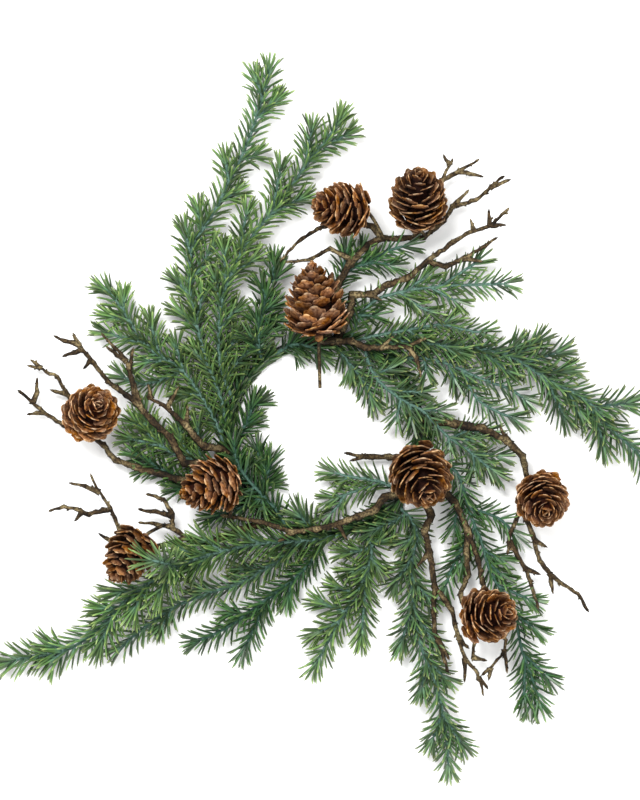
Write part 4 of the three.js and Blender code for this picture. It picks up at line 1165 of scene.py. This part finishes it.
def across(points):
    """Directions along a line of points, and two directions across it."""
    along = np.gradient(points, axis=0)
    along /= np.linalg.norm(along, axis=1)[:, None]
    up = np.array([0, 0, 1]) - along * along[:, 2:3]
    up /= np.linalg.norm(up, axis=1)[:, None]
    return along, up, np.cross(up, along)


def in_cone(points):
    """Whether each point lies inside one of the cones."""
    inside = np.zeros(len(points), bool)
    for laid in cones.values():
        for centre, radius in zip(laid["body"], laid["radii"]):
            inside |= np.linalg.norm(points - centre, axis=1) < radius - 1
    return inside


def from_ring(places):
    """How far places lie in or out from the ring, in plan."""
    return np.abs(np.linalg.norm(places[:, :2], axis=1) - RING_RADIUS)


def wobble(chance, most):
    """A random shift either way."""
    return chance.uniform(-most, most)


def kept_above(reach, foot, length):
    """Turns a needle up, where it must be, so that its tip stays above the ground."""
    lowest = min((LOWEST_NEEDLE - foot[2]) / length, STEEPEST_NEEDLE)
    if reach[2] >= lowest:
        return reach
    level = reach[:2] / np.linalg.norm(reach[:2]) * math.sqrt(1 - lowest**2)
    return np.append(level, lowest)


def needle_rows(line, stem, first, whorls):
    """How far along a stem each whorl sits, from the first one on: closest near the ring."""
    rows = [first]
    while rows[-1] < stem - whorls["spacing"][0] / 2:
        aside = from_ring(line.at(rows[-1] / line.length))[0]
        rows.append(rows[-1] + np.interp(aside, DEEP_REACH, whorls["spacing"]))
    return rows


def needles_on(part, first, long, whorls, outside, chance):
    """Needles round one stem: staggered whorls that lean forward, and a tuft at the end."""
    line = Route(part["path"])
    stem = line.length * part["shares"][-2]
    rows = np.repeat(needle_rows(line, stem, first, whorls), whorls["needles"])
    distances = [row + wobble(chance, WHORL_SHIFT) for row in rows]
    along, up, side = across(line.at(np.linspace(0, 1, STEM_SAMPLES + 1)))
    copies = []
    for number, distance in enumerate(distances + [stem] * TUFT_NEEDLES):
        share = distance / line.length
        index = min(round(share * STEM_SAMPLES), STEM_SAMPLES)
        lean = NEEDLE_LEAN - END_CLOSING * max(0, 1 - (stem - distance) / END_REACH)
        size = long * (1 + chance.uniform(*NEEDLE_SHIFTS))
        if number >= len(distances):
            lean = TUFT_LEAN + TUFT_SPREAD * ((number * TUFT_STEP) % 1)
            size = long
        lean = math.radians(lean + wobble(chance, LEAN_SHIFT))
        # Every second whorl is turned by half a gap
        stagger = 0.25 + number // whorls["needles"] % 2 / 2
        turn = (number + stagger) * 2 * math.pi / whorls["needles"]
        turn += whorls["flatness"] * math.sin(2 * turn) + wobble(chance, TURN_SHIFT)
        outward = up[index] * math.cos(turn) + side[index] * math.sin(turn)
        reach = unit(along[index] * math.cos(lean) + outward * math.sin(lean))
        foot = line.at(share)[0] + outward * NEEDLE_FOOT
        reach = kept_above(reach, foot, NEEDLE_LENGTH * size)
        copies.append(Copy(foot, turned(reach, outward), (1, 1, size), chance.random()))
    feet = np.array([copy.place for copy in copies])
    tips = np.array([
        copy.place + copy.turn[:, 2] * NEEDLE_LENGTH * copy.size[2] for copy in copies
    ])
    hidden = in_cone(tips) | in_cone((tips + feet) / 2)
    if outside:
        hidden |= np.linalg.norm(tips[:, :2], axis=1) < HOLE_REACH
    return [copy for copy, is_hidden in zip(copies, hidden) if not is_hidden]


def ring_needles(chance):
    """Needles of the stem ends that are wired along the ring, all leaning the way it swirls."""
    copies = []
    for (start, end), sides, leans in RING_COVER:
        count = round(math.radians(end - start) * RING_RADIUS * RING_COVER_NEEDLES)
        for _ in range(count):
            angle = math.radians(start + (end - start) * chance.random())
            outward = np.array([math.cos(angle), math.sin(angle), 0])
            forward = np.array([math.sin(angle), -math.cos(angle), 0])
            turn = math.radians(chance.uniform(*sides))
            away = outward * math.cos(turn) + (0, 0, math.sin(turn))
            lean = math.radians(chance.uniform(*leans))
            reach = unit(forward * math.cos(lean) + away * math.sin(lean))
            foot = outward * RING_RADIUS + (0, 0, RING_THICKNESS / 2) + away * RING_THICKNESS / 2
            reach = kept_above(reach, foot, NEEDLE_LENGTH)
            size = (1, 1, chance.uniform(*RING_COVER_LENGTHS))
            copies.append(Copy(foot, turned(reach, away), size, chance.random()))
    return copies


def make_needles(name, copies, slot):
    """Needles as one mesh, each with its own tone, and with painted shade that darkens them near
    the ring.
    """
    needles = repeated(name, NEEDLE, copies)
    points = NEEDLE[0]
    along = np.tile(points[:, 2] / NEEDLE_LENGTH, len(copies))
    tones = np.interp([copy.tint for copy in copies], (0, 1), NEEDLE_TONES)
    # Painted shade: the nearer a needle stands to the ring, deep in the mass, the darker its tone
    depth = np.interp(from_ring(np.array([copy.place for copy in copies])), DEEP_REACH, (1, 0))
    tones *= 1 - PAINTED_SHADE_NEAR_RING[slot] * depth
    # The third share, how far each point faces up, paints shade on the sides and underside of each
    # needle
    mark(needles, along, np.repeat(tones, len(points)), facing_up(needles))
    needles.data.materials.append(NEEDLE_FINISHES[slot])
    return needles


def make_ring_cover(seed):
    """The needles that hide most of the ring."""
    slot = "needles_deep_green"
    needles = make_needles("ring_cover_fine", ring_needles(random.Random(seed)), slot)
    smooth(needles, 50)
    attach(needles, "root")


def make_spray(name, parts, seed):
    """A flocked stem with its side shoots, and their needles."""
    chance = random.Random(seed)
    long = LONG_NEEDLED.get(name, 1)
    whorls = SPARSE_WHORLS if name in SPARSE else FULL_WHORLS
    copies = []
    lines = []
    for part in parts:
        first = BARE_SHOOT if lines else BARE_STEM
        copies += needles_on(part, first, long, whorls, name in OUTSIDE, chance)
        line = Route(part["path"])
        shares = np.linspace(0, part["shares"][-2], max(3, round(line.length / STEM_STEP)))
        radii = [part["radius_at"](share) for share in shares]
        radii[-1] *= STEM_POINT
        lines.append((line.at(shares), radii))
    needles = make_needles(name + "_needles", copies, PART_SLOT[name])
    stems = tubes(name + "_stems", lines, 6, STEM_FINISHES[PART_SLOT[name]])
    spray = joined(name + "_fine", needles, stems)
    smooth(spray, 50)
    finished(spray, name)


def kinked(part, start, chance):
    """The bare line of a twig: straight between its bends, a little uneven."""
    route = part["route"]
    shares = route.share_of_points()
    count = len(part["path"]) - 1
    points = route.points.copy()
    if start is not None:
        points[0] = start
    line = []
    for index in range(1, len(points)):
        steps = max(1, round(np.linalg.norm(points[index] - points[index - 1]) / KNOT_STEP))
        for step in range(steps):
            along = step / steps
            place = points[index - 1] * (1 - along) + points[index] * along
            share = shares[index - 1] * (1 - along) + shares[index] * along
            if step > 0:
                place[:2] += [wobble(chance, KNOT_SHIFT), wobble(chance, KNOT_SHIFT)]
            line.append((place, share, step == 0))
    line.append((points[-1], 1, True))
    for place, share, _ in line:
        place[2] = np.interp(share * count, range(count + 1), part["path"][:, 2])
    if start is not None:
        line[0][0][2] = start[2]
    places = np.array([place for place, _, _ in line])
    radii = [
        part["radius_at"](share) * TWIG_FULLNESS * (1 - TIP_THINNING * share**2)
        * (BEND_SWELLING if is_bend else chance.uniform(*KNOT_SIZES))
        for _, share, is_bend in line
    ]
    return places, radii


def buds_on(places, radii, chance):
    """Buds along one line of a twig, to its left and right by turns, and one at its end."""
    along, up, side = across(places)
    end = np.column_stack([side[-1], up[-1], along[-1]])
    buds = [Copy(places[-1], end, (1, 1, 1))]
    for index in range(2, len(places) - 1, BUD_EVERY):
        turn = wobble(chance, BUD_TURN) + (math.pi / 2 if index % 2 else -math.pi / 2)
        outward = up[index] * math.cos(turn) + side[index] * math.sin(turn)
        reach = unit(outward + along[index] * BUD_LEAN)
        place = places[index] + outward * radii[index] * BUD_DEPTH
        size = chance.uniform(*BUD_SIZES) * min(radii[index] / BUD_TWIG, 1)
        buds.append(Copy(place, turned(reach, outward), (size, size, size)))
    return buds


def make_twig(name, parts, seed):
    """A bare forked twig with knots, buds and rough bark."""
    chance = random.Random(seed)
    lines = []
    for part in parts:
        start = None
        if lines:
            old = [{"path": line, "radius_at": taper(1, 1)} for line, _ in lines]
            start = nearest_place(old, part["route"].points[0])[0]
        lines.append(kinked(part, start, chance))
    buds = []
    for places, radii in lines:
        radii[-1] *= BLUNT_TIP
        buds += buds_on(places, radii, chance)
    knots = repeated(name + "_buds", BUD, buds)
    wood = tubes(name + "_wood", lines, 8)
    twig = joined(name + "_fine", wood, knots)
    lumps = twig.modifiers.new("lumps", "DISPLACE")
    lumps.texture = BARK_LUMPS
    lumps.strength = BARK_RELIEF * MM
    bpy.ops.object.modifier_apply(modifier="lumps")
    smooth(twig, 60)
    # Stores how far each point faces up, for the painted shade on the bark's sides and underside
    mark(twig, facing_up(twig))
    finished(twig, name, BARK)


def cone_width(share):
    """How wide a cone is at a share of its length, as a share of its full width."""
    return np.interp(share, *zip(*CONE_PROFILE))


def scales_of(cone, laid, chance):
    """A cone's scales on a golden-angle spiral from base to tip, opened least at the tip."""
    axis = laid["axis"]
    # Turns are counted from a direction that no cone points in
    flat = unit(np.cross(axis, [0.31, 0.87, 0.38]))
    other = np.cross(axis, flat)
    copies = []
    for number in range(SCALES_PER_CONE):
        share = (number + 0.5) / SCALES_PER_CONE
        lip_at = SCALE_SPAN[0] + SCALE_SPAN[1] * share**SCALE_CROWDING
        ragged = chance.uniform(-LIP_SHIFT, np.interp(share, *SCALE_RAGGEDNESS))
        lip_out = cone_width(min(lip_at, 1)) * cone.width / 2 * (1 + ragged)
        lip_out *= np.interp(share, *TIP_CLOSING)
        turn = number * GOLDEN_ANGLE + math.radians(cone.turn) + wobble(chance, SPIRAL_SHIFT)
        outward = flat * math.cos(turn) + other * math.sin(turn)
        opening = math.radians(np.interp(share, *SCALE_OPENING))
        opening += math.radians(wobble(chance, OPENING_SHIFT))
        reach = axis * math.cos(opening) + outward * math.sin(opening)
        size = np.interp(share, *SCALE_BREADTH) * chance.uniform(*SCALE_SIZES)
        size = size * cone.width / SCALED_WIDTH
        lip = laid["base"] + axis * lip_at * cone.length + outward * lip_out
        # Its outer face looks away from the tip
        face = unit(outward * math.cos(opening) - axis * math.sin(opening))
        face = unit(face + np.cross(reach, face) * wobble(chance, ROLL_SHIFT))
        copies.append(Copy(
            lip - reach * SCALE_LENGTH * size,
            np.column_stack([np.cross(reach, face), reach, face]),
            (size, size, max(size, THINNEST_SCALE)),
            chance.random(),
        ))
    return copies


def make_cone(name, cone, laid, seed):
    """A cone: its scales, the core that they sit on with a knob at the base, and its stalk."""
    finish = CONE_FINISHES[PART_SLOT[name]]
    copies = scales_of(cone, laid, random.Random(seed))
    scales = repeated(name + "_scales", SCALE, copies)
    points = SCALE[0]
    along = np.tile(points[:, 1] / SCALE_LENGTH, len(copies))
    tints = np.repeat([copy.tint for copy in copies], len(points))
    rim = np.tile(np.abs(points[:, 0]) / (SCALE_WIDTH / 2), len(copies))
    mark(scales, along, tints, rim)
    scales.data.materials.append(finish)
    stalks = [(line, [STALK_RADIUS * STALK_FULLNESS] * len(line)) for line in laid["stalks"]]
    wood = tubes(name + "_wood", stalks, 8, BARK)
    # Stores how far each point faces up, for the painted shade on the stalk's sides and underside
    mark(wood, facing_up(wood))
    knob = [(share, KNOB_SIZE * size) for share, size in KNOB_FORM]
    heart = [
        (share, max(cone_width(share) * cone.width * CONE_HEART * (1 - share / 2), 1))
        for share in np.linspace(*HEART_SPAN, 8)
    ]
    shares, radii = zip(*knob, *heart)
    middle = [laid["base"] + laid["axis"] * share * cone.length for share in shares]
    core = tubes(name + "_core", [(np.array(middle), radii)], 10, finish)
    # The knob is as pale as a scale's body, and the rest of the core is painted as dark as a
    # scale's foot, as painted shade
    places = np.array([point.co[:] for point in core.data.vertices])
    from_base = (places - in_frame([laid["base"]])) @ laid["axis"] / MM
    mark(core, np.where(from_base < 1, 0.62, 0), np.full(len(places), 0.6))
    whole = joined(name + "_fine", scales, wood, core)
    smooth(whole, 45)
    finished(whole, name)


def make_ring():
    """The wire ring, with a few turns of thin wire round it where each stem is tied on."""
    put_down()
    half = RING_THICKNESS / 2
    bpy.ops.mesh.primitive_torus_add(
        location=in_frame([(0, 0, half)])[0], major_segments=120, minor_segments=14,
        major_radius=RING_RADIUS * MM, minor_radius=half * MM,
    )
    hoop = named("ring_hoop")
    bpy.ops.object.transform_apply(location=True)
    lines = []
    for plant in (*SPRAYS.values(), *TWIGS.values()):
        turns = np.linspace(0, TIE_TURNS * 2 * math.pi, TIE_POINTS)
        on_ring = (turns / (2 * math.pi) - TIE_TURNS / 2) * TIE_PITCH / RING_RADIUS
        on_ring += math.radians(plant["seat"][0])
        out = RING_RADIUS + (half + TIE_REACH) * np.cos(turns)
        height = np.maximum(half + (half + TIE_REACH) * np.sin(turns), TIE_RADIUS)
        line = np.column_stack([out * np.cos(on_ring), out * np.sin(on_ring), height])
        lines.append((line, [TIE_RADIUS] * TIE_POINTS))
    ties = tubes("ring_ties", lines, 4)
    ring = joined("ring_fine", hoop, ties)
    smooth(ring, 50)
    finished(ring, "ring", WIRE)


NEEDLE = model_needle()
SCALE = model_scale()
BUD = model_bud()
BARK_LUMPS = bpy.data.textures.new("bark_lumps", "CLOUDS")
BARK_LUMPS.noise_scale = BARK_LUMP * MM

# Laid in the same order as the solids, so that each stem passes over the same ones
lay_ring()
low_twig, low_cone = "twig_lower_left", "cone_lower_left"
twigs = {low_twig: lay_plant(low_twig, TWIG_GROWTH, **TWIGS[low_twig])}
cones = {low_cone: lay_cone(low_cone, CONES[low_cone], twigs[low_twig])}
sprays = {name: lay_plant(name, SPRAY_GROWTH, **spray) for name, spray in SPRAYS.items()}
for name, twig in TWIGS.items():
    if name != low_twig:
        twigs[name] = lay_plant(name, TWIG_GROWTH, **twig)
for name, cone in CONES.items():
    if name != low_cone:
        cones[name] = lay_cone(name, cone, twigs[cone.carrier])

for seed, (name, parts) in enumerate(sprays.items()):
    make_spray(name, parts, seed)
for seed, (name, parts) in enumerate(twigs.items()):
    make_twig(name, parts, 100 + seed)
for seed, (name, laid) in enumerate(cones.items()):
    make_cone(name, CONES[name], laid, 200 + seed)
make_ring()
make_ring_cover(300)


# Room, light and camera


def soft_light(name, place, size, power):
    """A square light that faces the middle of the floor."""
    light = bpy.data.lights.new(name, "AREA")
    light.size = size
    light.energy = power
    lamp = bpy.data.objects.new(name, light)
    lamp.location = place
    lamp.rotation_euler = (-Vector(place)).to_track_quat("-Z", "Y").to_euler()
    bpy.context.scene.collection.objects.link(lamp)


put_down()
bpy.ops.mesh.primitive_plane_add(size=6, location=(0, 0, 0))
floor = named("floor")
floor.data.materials.append(pale_paper("pale_paper"))

soft_light("key", (-0.45, 0.7, 1.8), size=0.7, power=38)
soft_light("fill", (0.9, -0.5, 1.7), size=1.4, power=15)

scene = bpy.context.scene
scene.view_settings.view_transform = "Standard"
world = bpy.data.worlds.new("studio")
world.use_nodes = True
world.node_tree.nodes["Background"].inputs["Color"].default_value = (1, 1, 1, 1)
world.node_tree.nodes["Background"].inputs["Strength"].default_value = 1.0
scene.world = world

camera = bpy.data.cameras.new("camera")
camera.sensor_width = 36
camera.lens = camera.sensor_width * CAMERA_HEIGHT / (PICTURE_HEIGHT * MM)
camera.clip_end = 20
eye = bpy.data.objects.new("camera", camera)
eye.location = (*in_frame([place_of(*PICTURE_MIDDLE)])[0][:2], CAMERA_HEIGHT)
scene.collection.objects.link(eye)
scene.camera = eye

put_down()
